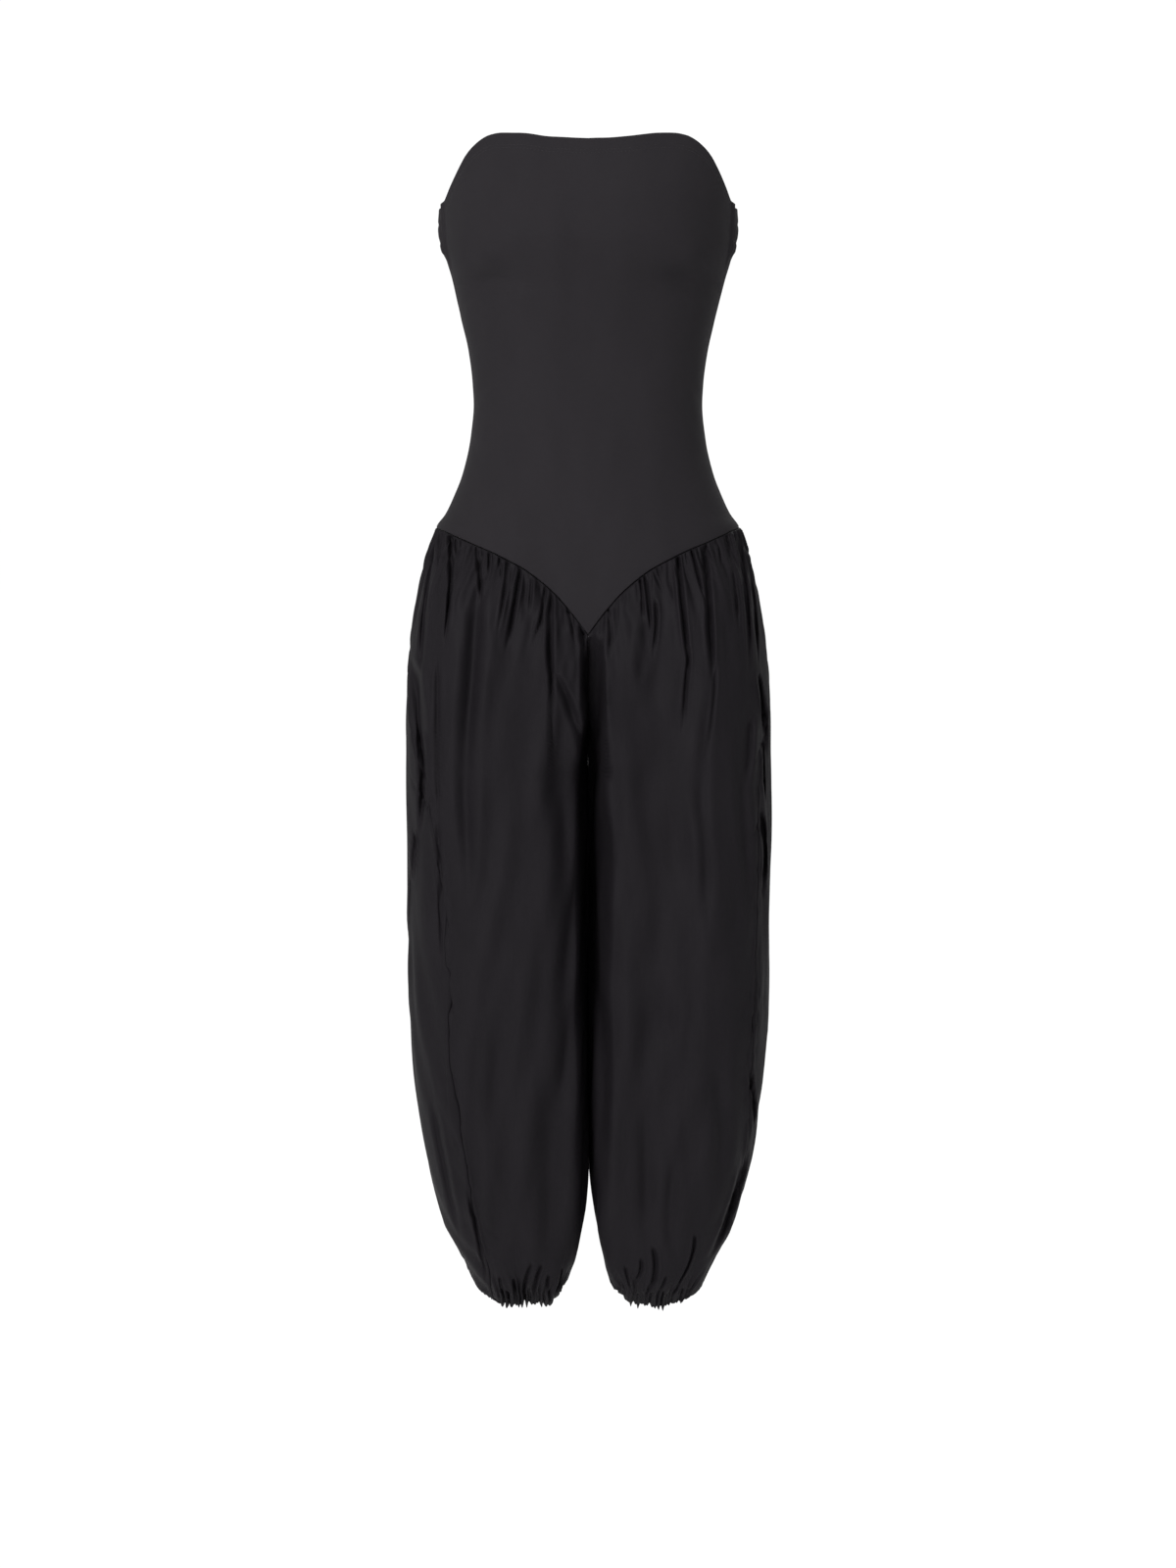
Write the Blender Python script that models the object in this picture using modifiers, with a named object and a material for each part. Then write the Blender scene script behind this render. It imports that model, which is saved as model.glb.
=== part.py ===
"""Strapless drop-waist jumpsuit, standing open as it is worn.

A fitted jersey bodice ends in a V-shaped seam on the hips. Four woven leg panels are gathered
onto that seam, stand full round each leg and are gathered again into an elastic casing at the
calf. Every panel is a thin wall: the garment is hollow and open at the top and at both calves.

Frame: metres, +Z up, the front faces -Y, and the origin is the centre of the top opening.
Left is the -X side. Tables are in millimetres, with a row for each section, edge point or fold.
"""
import math
from collections import namedtuple

import bmesh
import bpy
import numpy as np

# ---------------------------------------------------------------- cloth and seams
MM = 0.001
JERSEY_WALL = 1.4          # doubled stretch jersey of the bodice
WOVEN_WALL = 1.2           # thin woven cloth of the legs, with the air in its gathers
SEAM_GAP = 0.3             # space between two panels at a seam
SEAM_LIP = 1.5             # upright edge of each panel along the hip seam
SIDE_LEVEL = -304.0        # where the hip seam crosses the side of the body
CALF_LEVEL = -1091.0       # bottom edge of the calf casings

# ---------------------------------------------------------------- bodice form
# Half sections of the bodice: level, half width, depth in front and behind, and how far in
# front of the side plane the side seam runs.
BodySection = namedtuple("BodySection", "level half_width front back side_seam")
BODY = (
    BodySection(62, 144.5, 104, 106, 42),
    BodySection(30, 144.5, 116, 108, 42),
    BodySection(0, 144.0, 125, 108, 42),
    BodySection(-30, 142.0, 125, 107, 40),
    BodySection(-48, 137.8, 120, 105, 34),
    BodySection(-65, 132.4, 113, 102, 28),
    BodySection(-80, 128.5, 107, 98, 23),
    BodySection(-107, 122.3, 99, 92, 16),
    BodySection(-135, 116.3, 93, 85, 10),
    BodySection(-164, 112.8, 89, 80, 6),
    BodySection(-185, 111.8, 88, 78, 4),
    BodySection(-220, 115.5, 89, 82, 2),
    BodySection(-250, 122.5, 92, 92, 0),
    BodySection(-278, 133.5, 96, 105, 0),
    BodySection(-292, 140.5, 98, 111, 0),
    BodySection(-304, 149.0, 100, 116, 0),
    BodySection(-340, 157.0, 104, 126, 0),
    BodySection(-410, 160.0, 106, 130, 0),
)
BODY_ROUNDNESS = 2.3       # 2 is an ellipse, more is squarer
CURVE_POINTS = 30          # over a quarter turn of a section
BUST_RISE = 5.0            # soft fullness of a general figure, bridged by the cloth
BUST_APART = 68.0          # from the centre front
BUST_LEVEL = -14.0
BUST_SPREAD = 56.0
BUST_EDGE = (0.0, 0.25)    # share of the panel beside the side seam where it fades out

# Cut edges of the bodice, from the centre (0) to the side seam (1).
EdgePoint = namedtuple("EdgePoint", "at level")
FRONT_TOP = (
    EdgePoint(0.00, 53.5),
    EdgePoint(0.22, 55.6),
    EdgePoint(0.42, 59.8),
    EdgePoint(0.52, 60.4),
    EdgePoint(0.60, 58.7),
    EdgePoint(0.65, 55.4),
    EdgePoint(0.70, 50.0),
    EdgePoint(0.75, 42.5),
    EdgePoint(0.80, 31.5),
    EdgePoint(0.87, 16.0),
    EdgePoint(0.93, 5.5),
    EdgePoint(1.00, -2.0),
)
FRONT_HIP_SEAM = (
    EdgePoint(0.00, -402.0),
    EdgePoint(0.08, -379.6),
    EdgePoint(0.15, -363.0),
    EdgePoint(0.22, -350.4),
    EdgePoint(0.29, -340.2),
    EdgePoint(0.37, -332.0),
    EdgePoint(0.45, -324.8),
    EdgePoint(0.58, -316.2),
    EdgePoint(0.68, -310.6),
    EdgePoint(0.80, -306.0),
    EdgePoint(1.00, SIDE_LEVEL),
)
BACK_TOP = (
    EdgePoint(0.00, 4.0),
    EdgePoint(0.60, 2.0),
    EdgePoint(1.00, -2.0),
)
BACK_HIP_SEAM = (
    EdgePoint(0.00, -322.0),
    EdgePoint(0.50, -315.0),
    EdgePoint(1.00, SIDE_LEVEL),
)
BODICE_COLUMNS = 12        # over half of a bodice panel
COLUMN_CROWDING = 1.5      # columns lie closer together towards the side seams

# The back's top edge is a wide casing, bunched up by its elastic.
BACK_CASING_HEIGHT = 48.0
BACK_CASING_STAND = 2.4    # how far it stands off the body
BACK_CASING_GATHERS = 16
BACK_CASING_DEPTH = 2.2
BACK_CASING_EDGE = (0.0, 10.0)     # distance above its lower edge over which it stands off
BACK_CASING_ENDS = (0.05, 0.1125)  # share of the panel beside a side seam where it is flat

# Levels of the rows of faces where they meet the side seam. The first ones shape the casing.
CASING_ROWS = (-2.0, -10.0, -40.0, -50.0)
BODICE_ROWS = (-72.0, -100.0, -130.0, -160.0, -190.0, -222.0, -250.0)
ABOVE_SEAM_ROW = -278.0

# ---------------------------------------------------------------- leg form
# Sections round one leg. The front and back of a row may dip at the centre, to follow the hip
# seam. inner and outer are measured from the centre plane, crown is where the front and back
# stand furthest out, and front_inner and back_inner are where the panels end at the centre.
LegSection = namedtuple(
    "LegSection", "level front_dip back_dip inner crown outer front back front_inner back_inner")
LEG = (
    LegSection(-304, 98, 18, 0.15, 84, 149.0, 107, 117, 106.0, 116.0),
    LegSection(-321, 93, 16, 0.15, 84, 157.5, 113, 124, 109.0, 121.0),
    LegSection(-336, 88, 14, 0.15, 85, 162.5, 117, 128, 111.0, 125.0),
    LegSection(-365, 77, 10, 0.15, 86, 168.5, 120, 132, 113.0, 129.0),
    LegSection(-410, 52, 6, 0.15, 88, 175.0, 122, 134, 109.0, 127.0),
    LegSection(-450, 30, 3, 0.15, 90, 179.0, 122, 131, 98.0, 117.0),
    LegSection(-490, 12, 1, 0.15, 91, 180.5, 121, 127, 75.0, 94.0),
    LegSection(-525, 3, 0, 0.2, 91, 181.0, 120, 124, 36.0, 50.0),
    LegSection(-548, 0, 0, 0.35, 91, 181.5, 119, 122, 0.0, 0.0),
    LegSection(-620, 0, 0, 0.5, 92, 182.0, 116, 117, 0.0, 0.0),
    LegSection(-700, 0, 0, 0.5, 92, 182.0, 113, 112, 0.0, 0.0),
    LegSection(-785, 0, 0, 0.5, 92, 182.0, 108, 107, 0.0, 0.0),
    LegSection(-850, 0, 0, 0.5, 90, 178.5, 103, 102, 0.0, 0.0),
    LegSection(-910, 0, 0, 0.8, 87, 172.0, 96, 96, 0.0, 0.0),
    LegSection(-955, 0, 0, 1.6, 83, 164.5, 89, 90, 0.0, 0.0),
    LegSection(-986, 0, 0, 4.0, 81, 157.2, 82, 84, 0.0, 0.0),
    LegSection(-1018, 0, 0, 8.5, 78, 148.0, 73, 76, 0.0, 0.0),
    LegSection(-1050, 0, 0, 15.0, 74, 132.8, 62, 66, 0.0, 0.0),
    LegSection(-1066, 0, 0, 19.5, 72, 125.0, 56, 60, 0.0, 0.0),
    LegSection(-1075, 0, 0, 23.0, 71, 120.0, 50, 53, 0.0, 0.0),
    LegSection(CALF_LEVEL, 0, 0, 24.0, 70, 116.0, 46, 49, 0.0, 0.0),
)
LEG_ROUNDNESS = 2.25
INNER_FRONT_ROUNDNESS = 2.7    # the legs turn in to each other more sharply at the front
SEAM_FADE = 60.0           # below the hip seam the leg has left the body's own section
LEG_COLUMNS = 24           # over one panel between its gathered ends
COLUMNS_SETTLE = 180.0     # below the first of its rows they no longer follow the hip folds
LEG_CROWDING = 0.5         # how much closer together columns lie beside the seams
HIP_ROWS = (-315.0, -330.0)
LEG_ROWS = (-350.0, -390.0, -430.0, -466.0, -498.0, -530.0, -565.0, -665.0, -770.0,
            -860.0, -930.0, -980.0, -1012.0, -1038.0)
CALF_ROWS = (-1055.0, -1068.0, -1076.0, CALF_LEVEL)

# The side seam of each leg swings forward of the side plane on its way down, as the loose leg
# turns a little on the wearer.
SeamPoint = namedtuple("SeamPoint", "level forward")
SIDE_SEAMS = {
    "left": (
        SeamPoint(-304, 0),
        SeamPoint(-400, 8),
        SeamPoint(-480, 50),
        SeamPoint(-560, 88),
        SeamPoint(-640, 97),
        SeamPoint(-750, 96),
        SeamPoint(-850, 90),
        SeamPoint(-955, 77),
        SeamPoint(-1018, 61),
        SeamPoint(-1050, 51),
        SeamPoint(-1076, 42),
        SeamPoint(CALF_LEVEL, 38),
    ),
    "right": (
        SeamPoint(-304, 0),
        SeamPoint(-400, 6),
        SeamPoint(-480, 34),
        SeamPoint(-560, 62),
        SeamPoint(-640, 72),
        SeamPoint(-770, 75),
        SeamPoint(-850, 72),
        SeamPoint(-910, 60),
        SeamPoint(-955, 50),
        SeamPoint(-1018, 37),
        SeamPoint(-1050, 30),
        SeamPoint(CALF_LEVEL, 22),
    ),
}

# The slit between the legs runs a little askew, so one leg's front laps the other's back.
LEG_SKEW = 0.03            # sideways for each unit of depth
SKEW_FROM = -540.0         # none above this level, down to which the legs are sewn together
SKEW_FULL = -640.0

# ---------------------------------------------------------------- gathers
# Folds below the hip seam of each panel: at is the place along the seam from the centre (0) to
# the side (1), depth is that of the trough, and reach is how far down it has mostly faded.
Fold = namedtuple("Fold", "at depth reach")
HIP_FOLDS = {
    "leg_front_left": (
        Fold(0.035, 4.5, 60),
        Fold(0.095, 3.0, 26),
        Fold(0.175, 6.5, 130),
        Fold(0.240, 3.5, 42),
        Fold(0.315, 4.0, 58),
        Fold(0.380, 2.5, 18),
        Fold(0.450, 3.0, 22),
        Fold(0.545, 4.5, 60),
        Fold(0.640, 2.5, 24),
        Fold(0.735, 3.0, 34),
        Fold(0.840, 5.5, 105),
        Fold(0.945, 4.0, 70),
    ),
    "leg_front_right": (
        Fold(0.040, 3.0, 30),
        Fold(0.105, 4.0, 44),
        Fold(0.180, 2.5, 22),
        Fold(0.250, 4.0, 34),
        Fold(0.330, 4.5, 62),
        Fold(0.425, 6.0, 120),
        Fold(0.510, 4.0, 46),
        Fold(0.600, 6.5, 140),
        Fold(0.690, 2.5, 22),
        Fold(0.770, 3.0, 34),
        Fold(0.855, 5.0, 100),
        Fold(0.945, 4.5, 70),
    ),
    "leg_back_left": (
        Fold(0.040, 4.0, 52),
        Fold(0.115, 3.0, 24),
        Fold(0.190, 4.5, 84),
        Fold(0.275, 3.5, 30),
        Fold(0.355, 5.5, 118),
        Fold(0.440, 3.0, 26),
        Fold(0.520, 4.0, 48),
        Fold(0.610, 5.0, 96),
        Fold(0.690, 2.5, 22),
        Fold(0.775, 4.0, 62),
        Fold(0.860, 3.0, 28),
        Fold(0.945, 4.5, 76),
    ),
    "leg_back_right": (
        Fold(0.035, 3.5, 36),
        Fold(0.110, 4.5, 72),
        Fold(0.200, 3.0, 26),
        Fold(0.280, 5.0, 104),
        Fold(0.365, 2.5, 20),
        Fold(0.445, 4.0, 56),
        Fold(0.530, 3.5, 30),
        Fold(0.615, 5.5, 112),
        Fold(0.705, 3.0, 34),
        Fold(0.790, 4.5, 68),
        Fold(0.865, 3.0, 24),
        Fold(0.945, 4.0, 60),
    ),
}
FOLD_COLUMNS = 4           # columns of faces over one hip fold, with a trough at its middle
FOLD_RISE = 11.0           # below the seam a fold has its full depth

# Gathers into the calf casings: how deep they are at each level.
GatherLevel = namedtuple("GatherLevel", "level depth")
CALF_GATHERS = {"front": 12, "back": 16}
CALF_COLUMNS = 48          # over one panel
CALF_DEPTHS = (
    GatherLevel(-1000, 0.0),
    GatherLevel(-1040, 2.2),
    GatherLevel(-1062, 3.2),
    GatherLevel(-1075, 1.6),
    GatherLevel(-1083, 1.8),
    GatherLevel(CALF_LEVEL, 1.4),
)

# Long soft troughs in the hang of the legs: at and level are the middle of the trough, width
# and length are how far from there it has mostly faded.
Drape = namedtuple("Drape", "at level depth width length")
DRAPES = {
    "leg_front_left": (
        Drape(0.62, -470, 3.5, 15, 80),
        Drape(0.36, -640, 3.0, 20, 120),
        Drape(0.68, -810, 3.0, 18, 150),
        Drape(0.30, -960, 3.0, 18, 90),
        Drape(0.50, -1034, 4.5, 13, 34),
        Drape(0.80, -1020, 4.0, 12, 46),
    ),
    "leg_front_right": (
        Drape(0.45, -500, 3.5, 15, 90),
        Drape(0.70, -570, 3.5, 17, 110),
        Drape(0.52, -820, 3.0, 20, 140),
        Drape(0.25, -930, 3.0, 18, 100),
        Drape(0.56, -1036, 5.0, 12, 32),
        Drape(0.82, -1004, 4.5, 12, 56),
    ),
    "leg_back_left": (
        Drape(0.18, -560, 5.0, 20, 70),
        Drape(0.42, -610, 4.0, 24, 120),
        Drape(0.66, -700, 4.5, 26, 160),
        Drape(0.86, -860, 3.5, 22, 150),
        Drape(0.34, -900, 4.0, 24, 120),
        Drape(0.58, -1030, 5.0, 18, 44),
    ),
    "leg_back_right": (
        Drape(0.22, -580, 5.0, 22, 80),
        Drape(0.50, -560, 4.0, 22, 100),
        Drape(0.74, -720, 4.5, 24, 160),
        Drape(0.30, -830, 4.0, 24, 130),
        Drape(0.62, -930, 4.0, 22, 110),
        Drape(0.46, -1034, 5.0, 18, 40),
    ),
}

# Beside a seam the gathers are flat as far as the first distance, and they have their full depth
# from the second. The other EDGE and ENDS values are read in the same way.
HIP_FOLD_EDGE = (10.0, 24.0)
CENTRE_FOLD_EDGE = (1.5, 7.0)
CALF_GATHER_EDGE = (3.5, 9.0)

# ---------------------------------------------------------------- finish
CLOTHS = {
    "black_jersey": ((0.028, 0.026, 0.028, 1.0), 0.85),
    "black_woven": ((0.018, 0.0165, 0.019, 1.0), 0.6),
}
SHARP_FROM = 60.0          # degrees between faces


# ---------------------------------------------------------------- reading the tables
def read_smoothly(rows, key, column, at):
    """Value of a table's column at a key, on a curve through its rows with no overshoot."""
    keys = np.array([getattr(row, key) for row in rows], dtype=float)
    values = np.array([getattr(row, column) for row in rows], dtype=float)
    if keys[0] > keys[-1]:
        keys = keys[::-1]
        values = values[::-1]
    steps = np.diff(keys)
    slopes = np.diff(values) / steps
    tangents = np.concatenate((slopes[:1], np.zeros(len(slopes) - 1), slopes[-1:]))
    for i in range(1, len(slopes)):
        if slopes[i - 1] * slopes[i] > 0:
            tangents[i] = 2 * slopes[i - 1] * slopes[i] / (slopes[i - 1] + slopes[i])
    at = min(max(at, keys[0]), keys[-1])
    i = min(max(int(np.searchsorted(keys, at)) - 1, 0), len(steps) - 1)
    t = (at - keys[i]) / steps[i]
    return float(values[i] * (1 + 2 * t) * (1 - t) ** 2 + tangents[i] * steps[i] * t * (1 - t) ** 2
                 + values[i + 1] * t * t * (3 - 2 * t) + tangents[i + 1] * steps[i] * t * t * (t - 1))


def read_section(rows, level):
    """A whole row of a section table, read smoothly at any level."""
    kind = type(rows[0])
    columns = kind._fields[1:]
    return kind(level, *(read_smoothly(rows, "level", column, level) for column in columns))


def smoothstep(value):
    """0 below 0, 1 above 1 and an S-curve between."""
    value = min(max(value, 0.0), 1.0)
    return value * value * (3 - 2 * value)


def past_edge(distance, edge):
    """How much of a shape's depth shows this far from an edge: none, then some, then all."""
    flat, full = edge
    return smoothstep((distance - flat) / (full - flat))


# ---------------------------------------------------------------- section curves
def quarter_turn(start, end, leaves_along, roundness):
    """Points of a rounded quarter turn between two places, leaving the first along x or y."""
    turn = np.linspace(0.0, math.pi / 2, CURVE_POINTS)
    early = np.sin(turn) ** (2 / roundness)
    late = 1 - np.cos(turn) ** (2 / roundness)
    shares = (early, late) if leaves_along == "x" else (late, early)
    x = start[0] + (end[0] - start[0]) * shares[0]
    y = start[1] + (end[1] - start[1]) * shares[1]
    return np.column_stack((x, y))


class SectionCurve:
    """A level section from the centre front round one side to the centre back, in mm."""

    def __init__(self, quarters):
        self.points = np.vstack([quarters[0]] + [quarter[1:] for quarter in quarters[1:]])
        steps = np.hypot(*np.diff(self.points, axis=0).T)
        self.distance = np.concatenate(([0.0], np.cumsum(steps)))
        self.length = self.distance[-1]

    def place(self, distance):
        return np.array([np.interp(distance, self.distance, self.points[:, axis])
                         for axis in (0, 1)])

    def outward(self, distance):
        ahead = self.place(min(distance + 1.0, self.length))
        behind = self.place(max(distance - 1.0, 0.0))
        x, y = ahead - behind
        return np.array([y, -x]) / math.hypot(x, y)

    def distance_to_seam(self, forward):
        """Distance along the curve to where its outer side is this far forward."""
        first = int(np.argmin(self.points[:, 1]))
        last = int(np.argmax(self.points[:, 1]))
        return float(np.interp(-forward, self.points[first:last + 1, 1],
                               self.distance[first:last + 1]))


def body_curve(level):
    section = read_section(BODY, level)
    side = (section.half_width, 0.0)
    curve = SectionCurve((
        quarter_turn((0.0, -section.front), side, "x", BODY_ROUNDNESS),
        quarter_turn(side, (0.0, section.back), "y", BODY_ROUNDNESS),
    ))
    return curve, curve.distance_to_seam(section.side_seam)


def leg_curve(level, hand):
    section = read_section(LEG, level)
    front = (section.crown, -section.front)
    side = (section.outer, 0.0)
    back = (section.crown, section.back)
    curve = SectionCurve((
        quarter_turn((section.inner, -section.front_inner), front, "y", INNER_FRONT_ROUNDNESS),
        quarter_turn(front, side, "x", LEG_ROUNDNESS),
        quarter_turn(side, back, "y", LEG_ROUNDNESS),
        quarter_turn(back, (section.inner, section.back_inner), "x", LEG_ROUNDNESS),
    ))
    forward = read_smoothly(SIDE_SEAMS[hand], "level", "forward", level)
    return curve, curve.distance_to_seam(forward), section


# ---------------------------------------------------------------- points of the bodice
def body_point(at, level, is_front, lift=0.0):
    """A point of the bodice: at runs from the centre (0) to a side seam (-1 or 1)."""
    curve, seam = body_curve(level)
    if is_front:
        distance = abs(at) * (seam - SEAM_GAP / 2)
    else:
        distance = curve.length - abs(at) * (curve.length - seam - SEAM_GAP / 2)
    x, y = curve.place(distance) + lift * curve.outward(distance)
    if is_front:
        from_seam = past_edge(1 - abs(at), BUST_EDGE)
        for crown in (-BUST_APART, BUST_APART):
            away = math.hypot(x - crown, level - BUST_LEVEL) / BUST_SPREAD
            y -= from_seam * BUST_RISE * math.exp(-away * away)
    return np.array([math.copysign(x, at), y, level])


def back_casing_lift(at, drop):
    """How far the bunched elastic casing of the back stands off the body."""
    within = past_edge(BACK_CASING_HEIGHT - drop, BACK_CASING_EDGE)
    from_seam = past_edge(1 - abs(at), BACK_CASING_ENDS)
    bunching = 0.5 * BACK_CASING_DEPTH * math.cos(math.pi * BACK_CASING_GATHERS * at)
    return within * from_seam * (BACK_CASING_STAND + bunching)


def bodice_rows(is_front):
    """Rows of points from the top edge to the hip seam.

    A row's level is that of its ends at the side seams. Elsewhere it lies the same share of the
    way between the two edges. The last rows have the columns of the hip folds below them.
    """
    top_edge, bottom_edge = (FRONT_TOP, FRONT_HIP_SEAM) if is_front else (BACK_TOP, BACK_HIP_SEAM)
    facing = "front" if is_front else "back"
    left, right = (hip_fold_columns(HIP_FOLDS[f"leg_{facing}_{hand}"]) for hand in SIDE_SEAMS)
    at_hip = np.concatenate((-left[:0:-1], right))
    half = 1 - np.linspace(1.0, 0.0, BODICE_COLUMNS + 1) ** COLUMN_CROWDING
    crowded = np.concatenate((-half[:0:-1], half))
    plan = [(level, crowded) for level in CASING_ROWS + BODICE_ROWS]
    plan.append((ABOVE_SEAM_ROW, at_hip[::2]))
    if not is_front:
        fine = np.linspace(-1.0, 1.0, 4 * BODICE_COLUMNS + 1)
        plan[:len(CASING_ROWS)] = [(level, fine) for level in CASING_ROWS]
    rows = []
    for level, ats in plan:
        share = (CASING_ROWS[0] - level) / (CASING_ROWS[0] - SIDE_LEVEL)
        row = []
        for at in ats:
            top = read_smoothly(top_edge, "at", "level", abs(at))
            bottom = read_smoothly(bottom_edge, "at", "level", abs(at))
            lift = 0.0 if is_front else back_casing_lift(at, CASING_ROWS[0] - level)
            row.append(body_point(at, top + (bottom - top) * share, is_front, lift))
        rows.append(row)
    last = [body_point(at, read_smoothly(bottom_edge, "at", "level", abs(at)), is_front)
            for at in at_hip]
    return rows + [[point + (0.0, 0.0, SEAM_LIP) for point in last], last]


# ---------------------------------------------------------------- points of the legs
def hip_fold_phases(folds):
    """Places along the hip seam and the phase of the folds there: half past each is a trough."""
    places = [0.0] + [fold.at for fold in folds] + [1.0]
    phases = [0.0] + [index + 0.5 for index in range(len(folds))] + [float(len(folds))]
    return places, phases


def hip_fold_columns(folds):
    """Places of the columns of faces along the hip seam."""
    places, phases = hip_fold_phases(folds)
    count = FOLD_COLUMNS * len(folds)
    return np.interp(np.arange(count + 1) / FOLD_COLUMNS, phases, places)


def hip_fold_lift(at, drop, folds):
    """Depth of the gathers below the hip seam, as a lift off the smooth leg."""
    phase = np.interp(at, *hip_fold_phases(folds))
    trough = 0.5 - 0.5 * math.cos(2 * math.pi * phase)
    depth = np.interp(at, [fold.at for fold in folds], [fold.depth for fold in folds])
    reach = np.interp(at, [fold.at for fold in folds], [fold.reach for fold in folds])
    risen = smoothstep((drop - SEAM_LIP) / FOLD_RISE)
    faded = math.exp(-(drop / reach) ** 2)
    return -depth * trough * risen * faded


def calf_gather_lift(at, level, gathers):
    depth = read_smoothly(CALF_DEPTHS, "level", "depth", level)
    return 0.5 * depth * math.cos(2 * math.pi * gathers * at)


def drape_lift(along, span, level, drapes):
    """Depth of the long soft troughs, as a lift off the smooth leg."""
    lift = 0.0
    for drape in drapes:
        across = (along - drape.at * span) / drape.width
        down = (level - drape.level) / drape.length
        lift -= drape.depth * math.exp(-across * across - down * down)
    return lift


def leg_point(name, at, level):
    """A point of a leg panel: at runs from its inner edge (0) to the side seam (1)."""
    _, facing, hand = name.split("_")
    is_front = facing == "front"
    curve, seam, section = leg_curve(level, hand)
    span = seam if is_front else curve.length - seam
    along = SEAM_GAP / 2 + at * (span - SEAM_GAP)
    distance = along if is_front else curve.length - along
    hip_seam = FRONT_HIP_SEAM if is_front else BACK_HIP_SEAM
    seam_level = read_smoothly(hip_seam, "at", "level", at)
    dip = section.front_dip if is_front else section.back_dip
    z = level - dip * (SIDE_LEVEL - seam_level) / (SIDE_LEVEL - hip_seam[0].level)
    folds = hip_fold_lift(at, seam_level - z, HIP_FOLDS[name])
    folds += drape_lift(along, span, level, DRAPES[name])
    gathers = calf_gather_lift(at, level, CALF_GATHERS[facing])
    lift = past_edge(span - along, HIP_FOLD_EDGE) * past_edge(along, CENTRE_FOLD_EDGE) * folds
    lift += past_edge(min(along, span - along), CALF_GATHER_EDGE) * gathers
    x, y = curve.place(distance) + lift * curve.outward(distance)
    return np.array([max(x, section.inner), y, z - SEAM_GAP])


def hip_seam_point(at, is_front):
    """A point of a leg's top edge, just under the bottom edge of the bodice."""
    hip_seam = FRONT_HIP_SEAM if is_front else BACK_HIP_SEAM
    level = read_smoothly(hip_seam, "at", "level", at)
    point = body_point(at, level, is_front)
    return np.array([max(point[0], LEG[0].inner), point[1], level - SEAM_GAP])


def leg_rows(name):
    """Rows of a leg panel from the hip seam down to the hem of the calf casing."""
    is_front = "front" in name
    fine = hip_fold_columns(HIP_FOLDS[name])
    even = np.linspace(0.0, 1.0, LEG_COLUMNS + 1)
    settled = even - LEG_CROWDING * np.sin(2 * math.pi * even) / (2 * math.pi)
    calf = np.linspace(0.0, 1.0, CALF_COLUMNS + 1)
    plan = [(level, fine) for level in HIP_ROWS]
    for level in LEG_ROWS:
        share = smoothstep((LEG_ROWS[0] - level) / COLUMNS_SETTLE)
        plan.append((level, fine[::2] + (settled - fine[::2]) * share))
    plan += [(level, calf) for level in CALF_ROWS]
    top = [hip_seam_point(at, is_front) for at in fine]
    rows = [top, [point - (0.0, 0.0, SEAM_LIP) for point in top]]
    for level, ats in plan:
        held = 1 - smoothstep((SIDE_LEVEL - level) / SEAM_FADE)
        to_seam = [hip_seam_point(at, is_front) - leg_point(name, at, SIDE_LEVEL) for at in ats]
        rows.append([leg_point(name, at, level) + held * step for at, step in zip(ats, to_seam)])
    hand = -1 if "left" in name else 1
    for row in rows:
        for point in row:
            skewed = smoothstep((SKEW_FROM - point[2]) / (SKEW_FROM - SKEW_FULL))
            point[0] = hand * point[0] + LEG_SKEW * skewed * point[1]
    return rows


# ---------------------------------------------------------------- making the panels
def join_rows(mesh, upper, lower, flipped):
    """Faces between two rows of vertices, which hold equal, twice or half as many columns."""
    def add(*corners):
        mesh.faces.new(corners[::-1] if flipped else corners)

    if len(upper) == len(lower):
        for i in range(len(upper) - 1):
            add(upper[i], lower[i], lower[i + 1], upper[i + 1])
    elif len(upper) > len(lower):
        for i in range(len(lower) - 1):
            left, middle, right = upper[2 * i:2 * i + 3]
            add(left, lower[i], middle)
            add(middle, lower[i], lower[i + 1])
            add(middle, lower[i + 1], right)
    else:
        for i in range(len(upper) - 1):
            left, middle, right = lower[2 * i:2 * i + 3]
            add(upper[i], left, middle)
            add(upper[i], middle, upper[i + 1])
            add(upper[i + 1], middle, right)


def make_cloth(name, colour, roughness):
    material = bpy.data.materials.new(name)
    material.use_nodes = True
    shader = material.node_tree.nodes["Principled BSDF"]
    shader.inputs["Base Color"].default_value = colour
    shader.inputs["Roughness"].default_value = roughness
    shader.inputs["Metallic"].default_value = 0.0
    return material


def make_panel(name, rows, wall, flipped, cloth, collection, carrier):
    """A panel from its rows of points, given its wall towards the body by Solidify."""
    mesh = bmesh.new()
    grid = [[mesh.verts.new(point * MM) for point in row] for row in rows]
    for upper, lower in zip(grid, grid[1:]):
        join_rows(mesh, upper, lower, flipped)
    data = bpy.data.meshes.new(name)
    mesh.to_mesh(data)
    mesh.free()
    data.shade_smooth()
    data.set_sharp_from_angle(angle=math.radians(SHARP_FROM))
    data.materials.append(cloth)
    panel = bpy.data.objects.new(name, data)
    collection.objects.link(panel)
    panel.parent = carrier
    skin = panel.modifiers.new("wall", "SOLIDIFY")
    skin.thickness = wall * MM
    skin.offset = -1.0
    return panel


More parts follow.
